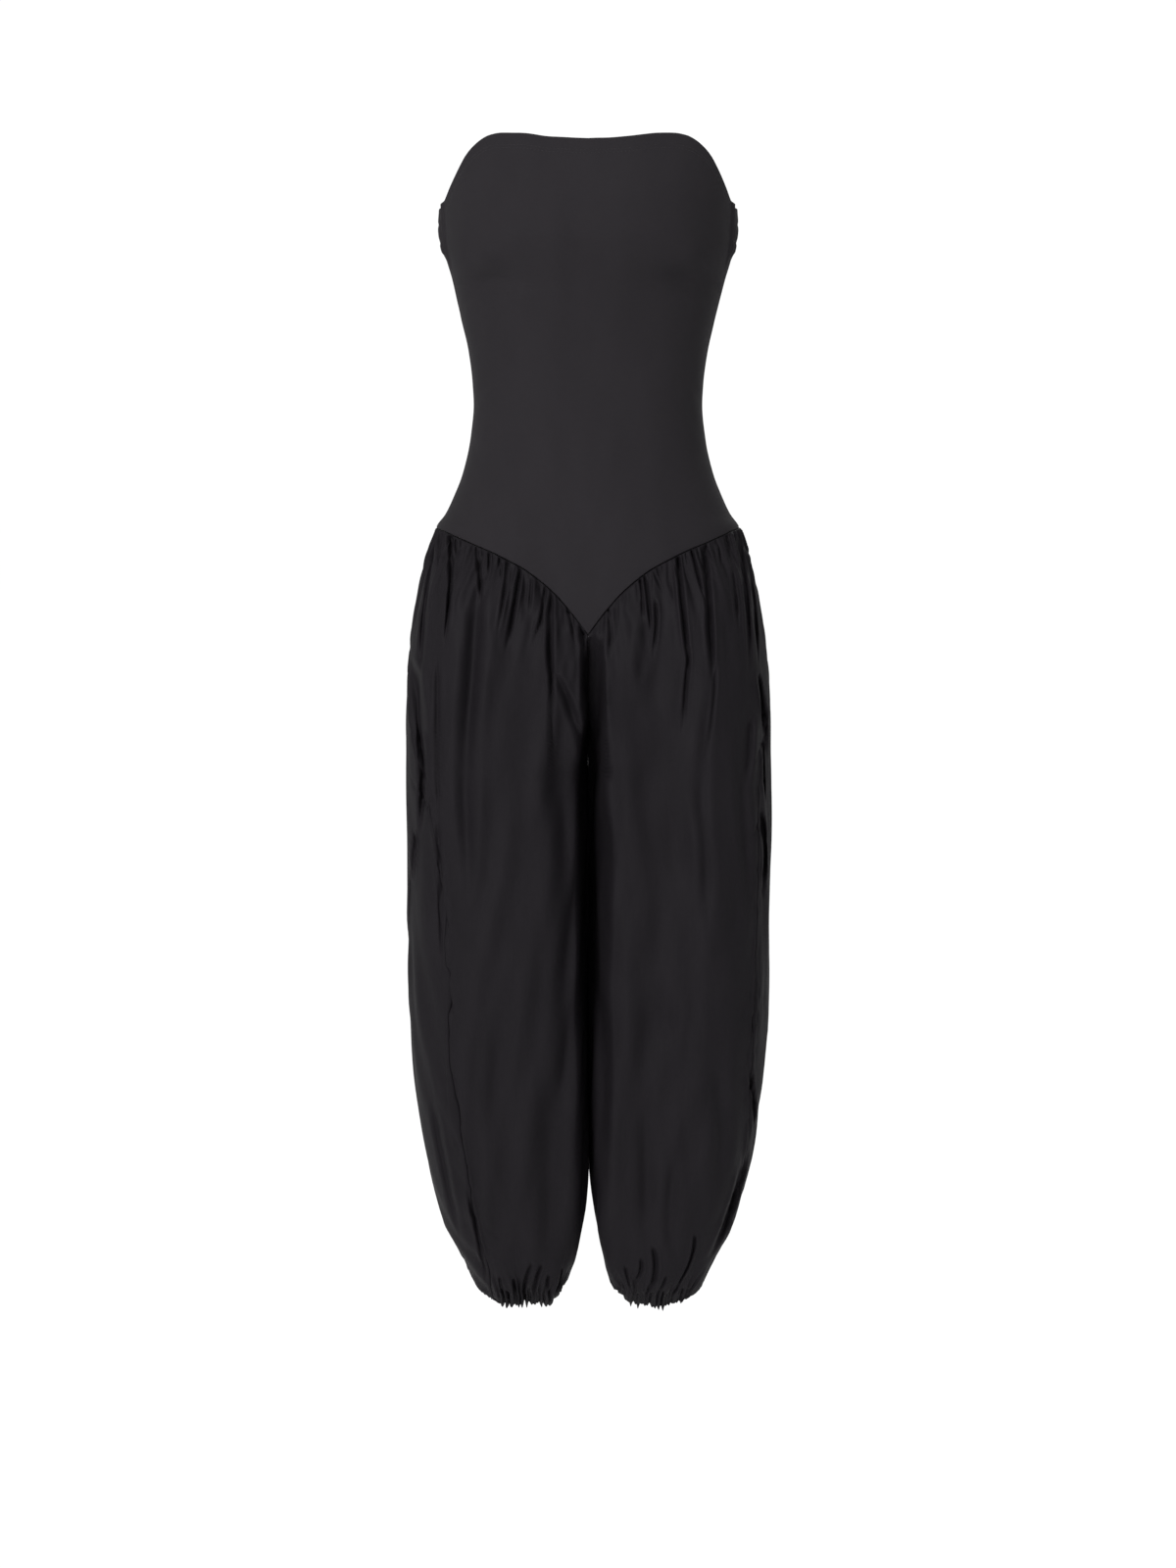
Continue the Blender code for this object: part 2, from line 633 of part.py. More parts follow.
def build():
    for thing in list(bpy.data.objects):
        bpy.data.objects.remove(thing, do_unlink=True)
    garment = bpy.data.collections.new("jumpsuit")
    bpy.context.scene.collection.children.link(garment)
    opening = bpy.data.objects.new("top_opening", None)
    opening.empty_display_size = 0.1
    garment.objects.link(opening)
    cloths = {name: make_cloth(name, *finish) for name, finish in CLOTHS.items()}
    jersey = cloths["black_jersey"]
    woven = cloths["black_woven"]
    make_panel("bodice_front", bodice_rows(True), JERSEY_WALL, False, jersey, garment, opening)
    make_panel("bodice_back", bodice_rows(False), JERSEY_WALL, True, jersey, garment, opening)
    for hand in ("left", "right"):
        for facing in ("front", "back"):
            name = f"leg_{facing}_{hand}"
            flipped = (facing == "front") == (hand == "left")
            make_panel(name, leg_rows(name), WOVEN_WALL, flipped, woven, garment, opening)


build()
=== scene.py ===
import math
from collections import namedtuple

import bpy
import numpy as np
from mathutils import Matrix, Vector


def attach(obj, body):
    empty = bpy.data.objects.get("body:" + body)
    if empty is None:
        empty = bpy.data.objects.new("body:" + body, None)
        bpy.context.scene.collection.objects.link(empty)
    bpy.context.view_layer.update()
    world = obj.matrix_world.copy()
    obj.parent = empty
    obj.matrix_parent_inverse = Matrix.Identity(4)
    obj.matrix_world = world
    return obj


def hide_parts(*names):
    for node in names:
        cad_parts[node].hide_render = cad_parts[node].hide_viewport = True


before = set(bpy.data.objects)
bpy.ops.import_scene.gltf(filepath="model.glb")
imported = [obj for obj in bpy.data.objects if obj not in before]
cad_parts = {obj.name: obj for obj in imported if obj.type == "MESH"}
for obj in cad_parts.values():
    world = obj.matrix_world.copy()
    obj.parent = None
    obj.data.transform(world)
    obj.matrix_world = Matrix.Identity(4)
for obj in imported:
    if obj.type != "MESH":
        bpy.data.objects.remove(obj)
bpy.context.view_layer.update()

# ------------------------------------------------------------------------------ studio
# The garment stands by itself in even white light, above a pale floor that runs out of sight.
# Two large soft boxes at the front corners, one overhead and one behind give its folds shape.
FLOOR_LEVEL = -1.358
FLOOR_SIDE = 60.0
FLOOR_WHITENESS = 0.94             # how much of the backdrop's white the floor is seen in
LENS = 52.0
SENSOR_HEIGHT = 36.0
SIGHT_END = 200.0
CAMERA_PLACE = (0.0, -2.25, -0.2205)
CAMERA_PITCH = 8.6116              # degrees below the horizontal
BACKDROP_LIGHT = 1.04              # the white that is seen behind the garment
AROUND_LIGHT = 0.50                # the light that comes from all round


def table(columns, rows):
    """Rows of values that are read by the names of their columns."""
    row_of = namedtuple("row", columns)
    return tuple(row_of(*values) for values in rows)


def tables(columns, **named):
    """Several tables that share their columns, by their names."""
    return {name: table(columns, rows) for name, rows in named.items()}


def split_by_sight(tree, output, lit, shown, share):
    """Feeds an output from one shader, and for the camera's own rays from a share of another."""
    sight = tree.nodes.new("ShaderNodeLightPath")
    factor = tree.nodes.new("ShaderNodeMath")
    factor.operation = "MULTIPLY"
    factor.inputs[1].default_value = share
    either = tree.nodes.new("ShaderNodeMixShader")
    tree.links.new(sight.outputs["Is Camera Ray"], factor.inputs[0])
    tree.links.new(factor.outputs[0], either.inputs[0])
    tree.links.new(lit.outputs[0], either.inputs[1])
    tree.links.new(shown.outputs[0], either.inputs[2])
    tree.links.new(either.outputs[0], tree.nodes[output].inputs["Surface"])


SOFT_BOXES = table("name place aims_at side power", (
    ("key_soft_box", (-1.5, -2.5, 0.65), (0.0, 0.0, -0.5), 1.2, 98.0),
    ("fill_soft_box", (2.2, -2.2, 0.3), (0.0, 0.0, -0.6), 1.4, 16.0),
    ("top_soft_box", (0.0, -0.6, 2.4), (0.0, 0.0, -0.4), 1.6, 18.0),
    ("back_soft_box", (0.8, 2.4, 1.2), (0.0, 0.0, -0.5), 1.6, 20.0),
))

camera = bpy.data.objects.new("camera", bpy.data.cameras.new("camera"))
camera.data.lens = LENS
camera.data.sensor_fit = "VERTICAL"
camera.data.sensor_height = SENSOR_HEIGHT
camera.data.clip_end = SIGHT_END
camera.location = CAMERA_PLACE
camera.rotation_euler = (math.radians(90 - CAMERA_PITCH), 0, 0)
bpy.context.collection.objects.link(camera)
bpy.context.scene.camera = camera
bpy.context.scene.view_settings.view_transform = "Standard"

world = bpy.data.worlds.new("white_studio")
world.use_nodes = True
sky = world.node_tree
backdrop = sky.nodes["Background"]
backdrop.inputs["Color"].default_value = (1, 1, 1, 1)
backdrop.inputs["Strength"].default_value = BACKDROP_LIGHT
around = sky.nodes.new("ShaderNodeBackground")
around.inputs["Color"].default_value = (1, 1, 1, 1)
around.inputs["Strength"].default_value = AROUND_LIGHT
split_by_sight(sky, "World Output", around, backdrop, 1.0)
bpy.context.scene.world = world

for box in SOFT_BOXES:
    lamp = bpy.data.lights.new(box.name, "AREA")
    lamp.shape = "SQUARE"
    lamp.size = box.side
    lamp.energy = box.power
    light = bpy.data.objects.new(box.name, lamp)
    light.location = box.place
    to_garment = Vector(box.aims_at) - Vector(box.place)
    light.rotation_euler = to_garment.to_track_quat("-Z", "Y").to_euler()
    bpy.context.collection.objects.link(light)

bpy.ops.object.select_all(action="DESELECT")
bpy.ops.mesh.primitive_plane_add(size=FLOOR_SIDE, location=(0, 0, FLOOR_LEVEL))
floor = bpy.context.object
floor.name = "floor"
bpy.ops.object.transform_apply(location=True, rotation=True, scale=True)
pale = bpy.data.materials.new("pale_floor")
pale.use_nodes = True
matt = pale.node_tree.nodes["Principled BSDF"]
matt.inputs["Base Color"].default_value = (0.98, 0.98, 0.98, 1)
matt.inputs["Roughness"].default_value = 0.9
matt.inputs["Specular IOR Level"].default_value = 0.0
white = pale.node_tree.nodes.new("ShaderNodeEmission")
white.inputs["Strength"].default_value = BACKDROP_LIGHT
split_by_sight(pale.node_tree, "Material Output", matt, white, FLOOR_WHITENESS)
floor.data.materials.append(pale)

# ------------------------------------------------------------------------ bodice front
# The front of the fitted bodice is one piece of doubled stretch jersey, smooth and matt. Its top
# edge is turned in and held with twin stitching, and it ends on the hips in a deep V, where the
# gathered legs are sewn on. Its edges turn inwards at the seams. All tables are in millimetres.
MM = 0.001
BODY = table("level half_width front back side_seam", (
    (62, 144.5, 104, 106, 42),
    (30, 144.5, 116, 108, 42),
    (0, 144.0, 125, 108, 42),
    (-30, 142.0, 125, 107, 40),
    (-48, 137.8, 120, 105, 34),
    (-65, 132.4, 113, 102, 28),
    (-80, 128.5, 107, 98, 23),
    (-107, 122.3, 99, 92, 16),
    (-135, 116.3, 93, 85, 10),
    (-164, 112.8, 89, 80, 6),
    (-185, 111.8, 88, 78, 4),
    (-220, 115.5, 89, 82, 2),
    (-250, 122.5, 92, 92, 0),
    (-278, 133.5, 96, 105, 0),
    (-292, 140.5, 98, 111, 0),
    (-304, 149.0, 100, 116, 0),
    (-340, 157.0, 104, 126, 0),
    (-410, 160.0, 106, 130, 0),
))
BODY_ROUNDNESS = 2.3
CURVE_POINTS = 120                 # over a quarter turn of a section
LEVEL_STEP = 2.0                   # between the sections that the surface is read from
BUST_RISE = 5.0
BUST_APART = 68.0
BUST_LEVEL = -14.0
BUST_SPREAD = 56.0
BUST_EDGE = (0.0, 0.25)
SIDE_LEVEL = -304.0
FRONT_TOP = table("at level", (
    (0.00, 53.5), (0.22, 55.6), (0.42, 59.8), (0.52, 60.4), (0.60, 58.7), (0.65, 55.4),
    (0.70, 50.0), (0.75, 42.5), (0.80, 31.5), (0.87, 16.0), (0.93, 5.5), (1.00, -2.0),
))
FRONT_HIP_SEAM = table("at level", (
    (0.00, -402.0), (0.08, -379.6), (0.15, -363.0), (0.22, -350.4), (0.29, -340.2), (0.37, -332.0),
    (0.45, -324.8), (0.58, -316.2), (0.68, -310.6), (0.80, -306.0), (1.00, SIDE_LEVEL),
))
SHEET_WALL = 0.5                   # one layer of cloth
SEAM_GAP = 0.1
SEAM_ROUND = (0.0, 0.12, 0.4, 0.85, 1.4)     # distances from a seam over which cloth turns in
SEAM_ALLOWANCE = 6.0               # cloth beyond a seam, turned into the garment
HEM_RADIUS = 0.9
HEM_TURNS = (20, 55, 90, 125, 160)           # degrees round the folded top edge
HEM_ROWS = (1.2, 3.0, 6.0, 10.0, 14.0)       # turned-in cloth, down from the edge
BODICE_ROWS = 110
BODICE_COLUMNS = 62                # over half of a panel
COLUMN_CROWDING = 1.3              # towards the side seams
PULLED_EDGE_LIFT = 2.8             # the ridge beside the side seam, which the casing pulls on
PULLED_EDGE_PLACE = 6.0
PULLED_EDGE_WIDTH = 2.6
PULLED_EDGE_END = -66.0
PULLED_EDGE_FADE = 30.0
FREE_CLOTH = (0.0, 14.0)           # from a side seam, where wrinkles start and where they are full
SWELL_WAVES = 14
SWELL_WIDTHS = (0.6, 1.8)          # the least and most, for a size of 1
SWELL_LENGTHS = (0.7, 2.0)         # the same, times how much longer than wide they are
SWELL_LENGTHENING = 2.6
FRONT_SWELL_SEED = 3
FRONT_SWELL_SIZE = 46.0
FRONT_SWELL = 0.22
JERSEY_DARK = (0.0114, 0.0103, 0.0118)
JERSEY_LIGHT = (0.0188, 0.0171, 0.0193)
JERSEY_CLOUDS = (0.060, 0.090)     # patches of uneven dye, in metres across and down
JERSEY_LINT = (0.0016, 0.0022)     # and so for lint and loops
JERSEY_LOOPS = (0.00085, 0.00065)
JERSEY_RELIEF = 0.00012            # metres

# Stretch wrinkles: the middle of each, the slope of its line in degrees from level, its depth,
# which is below zero for a ridge, its width and its half length.
FRONT_WRINKLES = table("x z slope depth width length", (
    (-104, -176, 62, 0.7, 4.5, 16),
    (-98, -192, 55, 0.5, 4.0, 12),
    (-108, -228, 118, 0.6, 4.5, 15),
    (-122, -74, 30, 0.6, 3.5, 11),
    (-118, -92, 24, 0.5, 3.5, 10),
    (-114, -112, 20, 0.4, 3.5, 9),
    (104, -172, 118, 0.8, 4.5, 17),
    (100, -200, 124, 0.5, 4.0, 12),
    (112, -232, 62, 0.5, 4.0, 13),
    (122, -72, 150, 0.7, 3.5, 12),
    (117, -90, 156, 0.5, 3.5, 10),
    (113, -115, 160, 0.4, 3.5, 9),
    (-92, -48, 4, -2.6, 11.0, 17),
    (-91, -74, 4, 6.4, 10.0, 19),
    (98, -46, 174, -2.6, 11.0, 17),
    (94, -72, 176, 6.4, 10.0, 21),
    (0, -96, 0, -3.0, 34.0, 44),
    (-60, -76, 8, 1.2, 10.0, 20),
    (64, -75, 172, 1.2, 10.0, 20),
    (-118, -268, 130, 0.5, 5.0, 14),
    (119, -266, 50, 0.5, 5.0, 14),
))


class Wire:
    """An output of a node, on which the arithmetic of a shader is written as in Python."""

    def __init__(self, tree, socket=None):
        self.tree = tree
        self.socket = socket

    def add(self, kind, settings, inputs, output=0):
        """Adds a node: its settings first, then the values and links of its sockets."""
        node = self.tree.nodes.new(kind)
        for name, value in settings.items():
            setattr(node, name, value)
        for key, value in inputs.items():
            if isinstance(value, Wire):
                self.tree.links.new(value.socket, node.inputs[key])
            else:
                node.inputs[key].default_value = value
        return Wire(self.tree, node.outputs[output])

    def math(self, operation, *values):
        return self.add("ShaderNodeMath", {"operation": operation}, dict(enumerate(values)))

    def __add__(self, other):
        return self.math("ADD", self, other)

    def __mul__(self, other):
        return self.math("MULTIPLY", self, other)

    __radd__ = __add__
    __rmul__ = __mul__


def start_material(name, fixed):
    """A material with an empty Wire on its tree and its shader, some sockets of which are fixed."""
    material = bpy.data.materials.new(name)
    material.use_nodes = True
    shader = material.node_tree.nodes["Principled BSDF"]
    for socket, value in fixed.items():
        shader.inputs[socket].default_value = value
    return material, Wire(material.node_tree), shader


def stretched(wire, across, down):
    """The cloth's own coordinates, in steps of so many metres across and down."""
    cloth = wire.add("ShaderNodeUVMap", {"uv_map": "cloth"}, {})
    return wire.add("ShaderNodeVectorMath", {"operation": "MULTIPLY"},
                    {0: cloth, 1: (1 / across, 1 / down, 0.0)})


def noise(wire, across, down, detail):
    """Noise from 0 to 1 in lumps of about so many metres across and down."""
    return wire.add("ShaderNodeTexNoise", {}, {
        "Vector": stretched(wire, across, down), "Scale": 1.0, "Detail": detail})


def threads(wire, across, down):
    """Two crossing rows of round threads, so many metres apart, from 0 to 1."""
    split = wire.tree.nodes.new("ShaderNodeSeparateXYZ")
    wire.tree.links.new(stretched(wire, across / math.tau, down / math.tau).socket,
                        split.inputs[0])
    warp = Wire(wire.tree, split.outputs[0])
    weft = Wire(wire.tree, split.outputs[1])
    return wire.math("SINE", warp) * wire.math("SINE", weft) * 0.5 + 0.5


def shade(wire, tone, dark, light):
    """A colour between a dark and a light one."""
    return wire.add("ShaderNodeMix", {"data_type": "RGBA"}, {
        "Factor": tone, 6: (*dark, 1), 7: (*light, 1)}, 2)


def feed(shader, sockets):
    """Links results of the arithmetic to a shader's sockets."""
    for socket, value in sockets.items():
        value.tree.links.new(value.socket, shader.inputs[socket])


def jersey_material():
    """Matt black stretch knit: fine upright ribs of loops, a little lint and uneven dye."""
    material, wire, shader = start_material("black_jersey", {
        "Metallic": 0.0, "Specular IOR Level": 0.04, "Sheen Weight": 0.04,
        "Sheen Roughness": 0.4})
    cloudy = noise(wire, *JERSEY_CLOUDS, 3.0)
    lint = noise(wire, *JERSEY_LINT, 2.0)
    loops = threads(wire, *JERSEY_LOOPS)
    relief = wire.add("ShaderNodeBump", {}, {
        "Strength": 0.6, "Distance": JERSEY_RELIEF, "Height": loops * 0.7 + lint * 0.5})
    feed(shader, {
        "Base Color": shade(wire, cloudy * 0.5 + lint * 0.3 + loops * 0.2,
                            JERSEY_DARK, JERSEY_LIGHT),
        "Roughness": 0.78 + lint * 0.12,
        "Normal": relief})
    return material


def read_smoothly(rows, column, at):
    """Values of a table's column where its first column is at, on a curve with no overshoot."""
    keys = np.array([row[0] for row in rows], dtype=float)
    values = np.array([getattr(row, column) for row in rows], dtype=float)
    if keys[0] > keys[-1]:
        keys = keys[::-1]
        values = values[::-1]
    steps = np.diff(keys)
    slopes = np.diff(values) / steps
    product = slopes[:-1] * slopes[1:]
    total = np.where(product > 0, slopes[:-1] + slopes[1:], 1.0)
    inner = np.where(product > 0, 2 * product / total, 0.0)
    tangents = np.concatenate((slopes[:1], inner, slopes[-1:]))
    at = np.clip(at, keys[0], keys[-1])
    i = np.clip(np.searchsorted(keys, at) - 1, 0, len(steps) - 1)
    t = (at - keys[i]) / steps[i]
    return (values[i] * (1 + 2 * t) * (1 - t) ** 2 + tangents[i] * steps[i] * t * (1 - t) ** 2
            + values[i + 1] * t * t * (3 - 2 * t)
            + tangents[i + 1] * steps[i] * t * t * (t - 1))


def smoothstep(value):
    """0 below 0, 1 above 1 and an S-curve between."""
    value = np.clip(value, 0.0, 1.0)
    return value * value * (3 - 2 * value)


def past_edge(distance, edge):
    """How much of a shape's depth shows this far from an edge: none, then some, then all."""
    flat, full = edge
    return smoothstep((distance - flat) / (full - flat))


def quarter_turn(start, end, leaves_along, roundness):
    """Points of a rounded quarter turn between two places, leaving the first along x or y."""
    turn = np.linspace(0.0, math.pi / 2, CURVE_POINTS)
    early = np.sin(turn) ** (2 / roundness)
    late = 1 - np.cos(turn) ** (2 / roundness)
    shares = (early, late) if leaves_along == "x" else (late, early)
    x = start[0] + (end[0] - start[0]) * shares[0]
    y = start[1] + (end[1] - start[1]) * shares[1]
    return np.column_stack((x, y))


def running_total(steps):
    """Distances from the start of a line to its points, from the lengths of its steps."""
    return np.concatenate(([0.0], np.cumsum(steps)))


def points_at(distance, distances, points):
    """Points on a line this far along it, from the distances of its own points."""
    return np.stack([np.interp(distance, distances, axis) for axis in points.T], axis=-1)


class SectionCurve:
    """A level section from the centre front round one side to the centre back, in mm."""

    def __init__(self, quarters):
        self.points = np.vstack([quarters[0]] + [quarter[1:] for quarter in quarters[1:]])
        self.distance = running_total(np.hypot(*np.diff(self.points, axis=0).T))
        self.length = self.distance[-1]

    def place(self, distance):
        return points_at(distance, self.distance, self.points)

    def distance_to_seam(self, forward):
        """Distance along the curve to where its outer side is this far forward."""
        first = int(np.argmin(self.points[:, 1]))
        last = int(np.argmax(self.points[:, 1]))
        return float(np.interp(-forward, self.points[first:last + 1, 1],
                               self.distance[first:last + 1]))


class BodySurface:
    """The body's surface on one side of the side seams, read at any place and level."""

    def __init__(self, is_front):
        self.is_front = is_front
        self.levels = np.arange(BODY[0].level + 2 * LEVEL_STEP, BODY[-1].level - LEVEL_STEP,
                                -LEVEL_STEP)
        columns = {name: read_smoothly(BODY, name, self.levels)
                   for name in BODY[0]._fields[1:]}
        shares = np.linspace(0.0, 1.0, 2 * CURVE_POINTS)
        rows = []
        spans = []
        for i in range(len(self.levels)):
            side = (columns["half_width"][i], 0.0)
            curve = SectionCurve((
                quarter_turn((0.0, -columns["front"][i]), side, "x", BODY_ROUNDNESS),
                quarter_turn(side, (0.0, columns["back"][i]), "y", BODY_ROUNDNESS),
            ))
            seam = curve.distance_to_seam(columns["side_seam"][i])
            spans.append(seam if is_front else curve.length - seam)
            along = shares * spans[-1]
            rows.append(curve.place(along if is_front else curve.length - along))
        self.places = np.array(rows)
        self.spans = np.array(spans)

    def span(self, level):
        """Distance from the centre to the side seam."""
        return np.interp(-level, -self.levels, self.spans)

    def point(self, share, level):
        """Points at shares from the centre (0) to a side seam (-1 or 1)."""
        row = np.clip((self.levels[0] - level) / LEVEL_STEP, 0, len(self.levels) - 1.001)
        column = np.clip(np.abs(share), 0, 1) * (self.places.shape[1] - 1.001)
        i = row.astype(int)
        j = column.astype(int)
        down = (row - i)[..., None]
        over = (column - j)[..., None]
        upper = self.places[i, j] * (1 - over) + self.places[i, j + 1] * over
        lower = self.places[i + 1, j] * (1 - over) + self.places[i + 1, j + 1] * over
        x, y = np.moveaxis(upper * (1 - down) + lower * down, -1, 0)
        if self.is_front:
            from_seam = past_edge(1 - np.abs(share), BUST_EDGE)
            for crown in (-BUST_APART, BUST_APART):
                away = np.hypot(x - crown, level - BUST_LEVEL) / BUST_SPREAD
                y = y - from_seam * BUST_RISE * np.exp(-away * away)
        return np.stack((np.copysign(x, share), y, level), axis=-1)


def outward(grid, flipped):
    """Directions out of a grid of points, from the steps along its rows and columns."""
    across = np.gradient(grid, axis=1)
    down = np.gradient(grid, axis=0)
    out = np.cross(across, -down)
    out /= np.maximum(np.linalg.norm(out, axis=-1, keepdims=True), 1e-9)
    return -out if flipped else out


def turned_in(distance):
    """How far cloth has sunk this far from a seam, where it turns into the garment."""
    reach = SEAM_ROUND[-1]
    short = np.maximum(reach - distance, 0.0)
    return reach - np.sqrt(np.maximum(reach ** 2 - short ** 2, 0.0))


def add_allowance(grid, out, sides):
    """Adds lines of points beyond edges of the grid, straight into the garment."""
    into = np.pad(np.zeros(grid.shape[:2]), sides, constant_values=SEAM_ALLOWANCE)
    out = np.pad(out, (*sides, (0, 0)), mode="edge")
    return np.pad(grid, (*sides, (0, 0)), mode="edge") - into[..., None] * out, out


def drop_from_edge(grid):
    """How far each point lies above or below the first row's point in its column."""
    return np.maximum.accumulate(np.abs((grid - grid[0])[..., 2]), axis=0)


def row_at(points, drop, distance):
    """The row of points so far from the first one, read between the grid's own rows."""
    upper = np.clip((drop < distance).sum(axis=0) - 1, 0, len(points) - 2)
    column = np.arange(points.shape[1])
    near = drop[upper, column]
    far = drop[upper + 1, column]
    share = np.clip((distance - near) / np.maximum(far - near, 1e-6), 0, 1)[:, None]
    return points[upper, column] * (1 - share) + points[upper + 1, column] * share


def turn_hem(grid, out, edge_up):
    """Adds a folded edge above the grid's first row, and the cloth turned in behind it."""
    edge = grid[0]
    rows = []
    for turn in map(math.radians, HEM_TURNS):
        inward = out[0] * HEM_RADIUS * (1 - math.cos(turn))
        rows.append(edge - inward + edge_up * HEM_RADIUS * math.sin(turn))
    behind = grid - out * 2 * HEM_RADIUS
    drop = drop_from_edge(grid)
    rows.extend(row_at(behind, drop, distance) for distance in HEM_ROWS)
    return np.concatenate((np.array(rows[::-1]), grid), axis=0)


def close_panel(grid, out, edge_up):
    """Folds the first row's edge into a hem and turns the cloth in along the other three."""
    grid, out = add_allowance(grid, out, ((0, 1), (0, 0)))
    grid = turn_hem(grid, out, np.array(edge_up))
    out = np.pad(out, ((len(grid) - len(out), 0), (0, 0), (0, 0)), mode="edge")
    return add_allowance(grid, out, ((0, 0), (1, 1)))[0]


def start_piece(name, mesh):
    """An object of a mesh, which is then the only one selected."""
    piece = bpy.data.objects.new(name, mesh)
    bpy.context.collection.objects.link(piece)
    bpy.ops.object.select_all(action="DESELECT")
    piece.select_set(True)
    bpy.context.view_layer.objects.active = piece
    return piece


def make_sheet(name, grid, plan, flipped, material):
    """A sheet of cloth through a grid of points in mm, with plan as its UV map in metres."""
    rows, columns = grid.shape[:2]
    index = np.arange(rows * columns).reshape(rows, columns)
    corners = [index[:-1, :-1], index[1:, :-1], index[1:, 1:], index[:-1, 1:]]
    faces = np.stack(corners[::-1] if flipped else corners, axis=-1).reshape(-1, 4)
    mesh = bpy.data.meshes.new(name)
    mesh.from_pydata((grid.reshape(-1, 3) * MM).tolist(), [], faces.tolist())
    uv = mesh.uv_layers.new(name="cloth")
    uv.data.foreach_set("uv", plan.reshape(-1, 2)[faces.reshape(-1)].ravel())
    mesh.materials.append(material)
    mesh.shade_smooth()
    piece = start_piece(name, mesh)
    wall = piece.modifiers.new("wall", "SOLIDIFY")
    wall.thickness = SHEET_WALL * MM
    wall.offset = -1.0
    bpy.ops.object.modifier_apply(modifier=wall.name)
    return piece


def wrinkle_lift(x, z, wrinkles):
    """Depth of short straight wrinkles, as a lift off the smooth cloth."""
    lift = np.zeros_like(x)
    for wrinkle in wrinkles:
        slope = math.radians(wrinkle.slope)
        along = (x - wrinkle.x) * math.cos(slope) + (z - wrinkle.z) * math.sin(slope)
        aside = (z - wrinkle.z) * math.cos(slope) - (x - wrinkle.x) * math.sin(slope)
        lift -= wrinkle.depth * np.exp(-(aside / wrinkle.width) ** 2
                                       - (along / wrinkle.length) ** 2)
    return lift


def unevenness(across, down, seed, size, height):
    """Soft random swells a few times longer down the cloth than across it."""
    chance = np.random.default_rng(seed)
    swell = np.zeros_like(across)
    for _ in range(SWELL_WAVES):
        wide = size * chance.uniform(*SWELL_WIDTHS)
        tall = SWELL_LENGTHENING * size * chance.uniform(*SWELL_LENGTHS)
        swell += np.sin(across / wide * math.tau + chance.uniform(-1, 1) * down / tall * math.tau
                        + chance.uniform(0, math.tau))
    return height * swell / math.sqrt(SWELL_WAVES / 2)


def seam_margins(count):
    """Distances from a seam of so many points and of the few beside it, where cloth turns in."""
    return np.concatenate((np.full(count, SEAM_ROUND[-1]), SEAM_ROUND[-2::-1]))


def bodice_columns():
    """Shares and insets of the columns, from one side seam to the other."""
    inner = 1 - np.linspace(1.0, 0.0, BODICE_COLUMNS + 1) ** COLUMN_CROWDING
    shares = np.concatenate((inner, np.ones(len(SEAM_ROUND) - 1)))
    insets = seam_margins(len(inner))
    return (np.concatenate((-shares[:0:-1], shares)),
            np.concatenate((insets[:0:-1], insets)))


def bodice_grid(is_front, top_edge, bottom_edge, lifts):
    """Points of a bodice panel, rows from the top edge down, with the cloth turned in."""
    surface = BodySurface(is_front)
    shares, insets = bodice_columns()
    down = np.concatenate((np.linspace(0.0, 1.0, BODICE_ROWS), np.ones(len(SEAM_ROUND) - 1)))
    share, fall = np.meshgrid(shares, down)
    inset, above = np.meshgrid(insets, seam_margins(BODICE_ROWS))
    top = read_smoothly(top_edge, "level", np.abs(share))
    bottom = read_smoothly(bottom_edge, "level", np.abs(share))
    level = top + (bottom + above - top) * fall
    span = surface.span(level)
    across = np.abs(share) * (span - SEAM_GAP / 2 - inset)
    grid = surface.point(np.copysign(across / span, share), level)
    out = outward(grid, not is_front)
    from_seam = span - SEAM_GAP / 2 - across
    lift = lifts(share, grid[..., 0], level, top - level, from_seam)
    lift = lift - turned_in(from_seam) - turned_in(level - bottom)
    return grid + out * lift[..., None], out


def front_lifts(share, x, level, drop, from_seam):
    """Wrinkles, soft swells and the ridge that the back's casing pulls up at the bust."""
    swells = unevenness(x, level, FRONT_SWELL_SEED, FRONT_SWELL_SIZE, FRONT_SWELL)
    pulled = smoothstep((level - PULLED_EDGE_END) / PULLED_EDGE_FADE) * PULLED_EDGE_LIFT * np.exp(
        -((from_seam - PULLED_EDGE_PLACE) / PULLED_EDGE_WIDTH) ** 2)
    return pulled + past_edge(from_seam, FREE_CLOTH) * (
        wrinkle_lift(x, level, FRONT_WRINKLES) + swells)


def plan_of(grid, across):
    """Cloth coordinates in metres: those given across, and the mean distance down the rows."""
    down = running_total(np.linalg.norm(np.diff(grid, axis=0), axis=-1).mean(axis=1))
    return np.stack((across, -(down[:, None] + np.zeros_like(across))), axis=-1) * MM


def make_bodice(name, grid, out, flipped):
    """A bodice panel with its edges turned in, its threads straight down its middle."""
    closed = close_panel(grid, out, (0.0, 0.0, 1.0))
    across = np.linalg.norm(np.diff(closed, axis=1), axis=-1).cumsum(axis=1)
    across = np.concatenate((np.zeros((len(closed), 1)), across), axis=1)
    across -= across[:, across.shape[1] // 2:across.shape[1] // 2 + 1]
    return make_sheet(name, closed, plan_of(closed, across), flipped, jersey)


jersey = jersey_material()
front_grid, front_out = bodice_grid(True, FRONT_TOP, FRONT_HIP_SEAM, front_lifts)
bodice_front = make_bodice("bodice_front_jersey", front_grid, front_out, False)
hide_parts("bodice_front")
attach(bodice_front, "root")

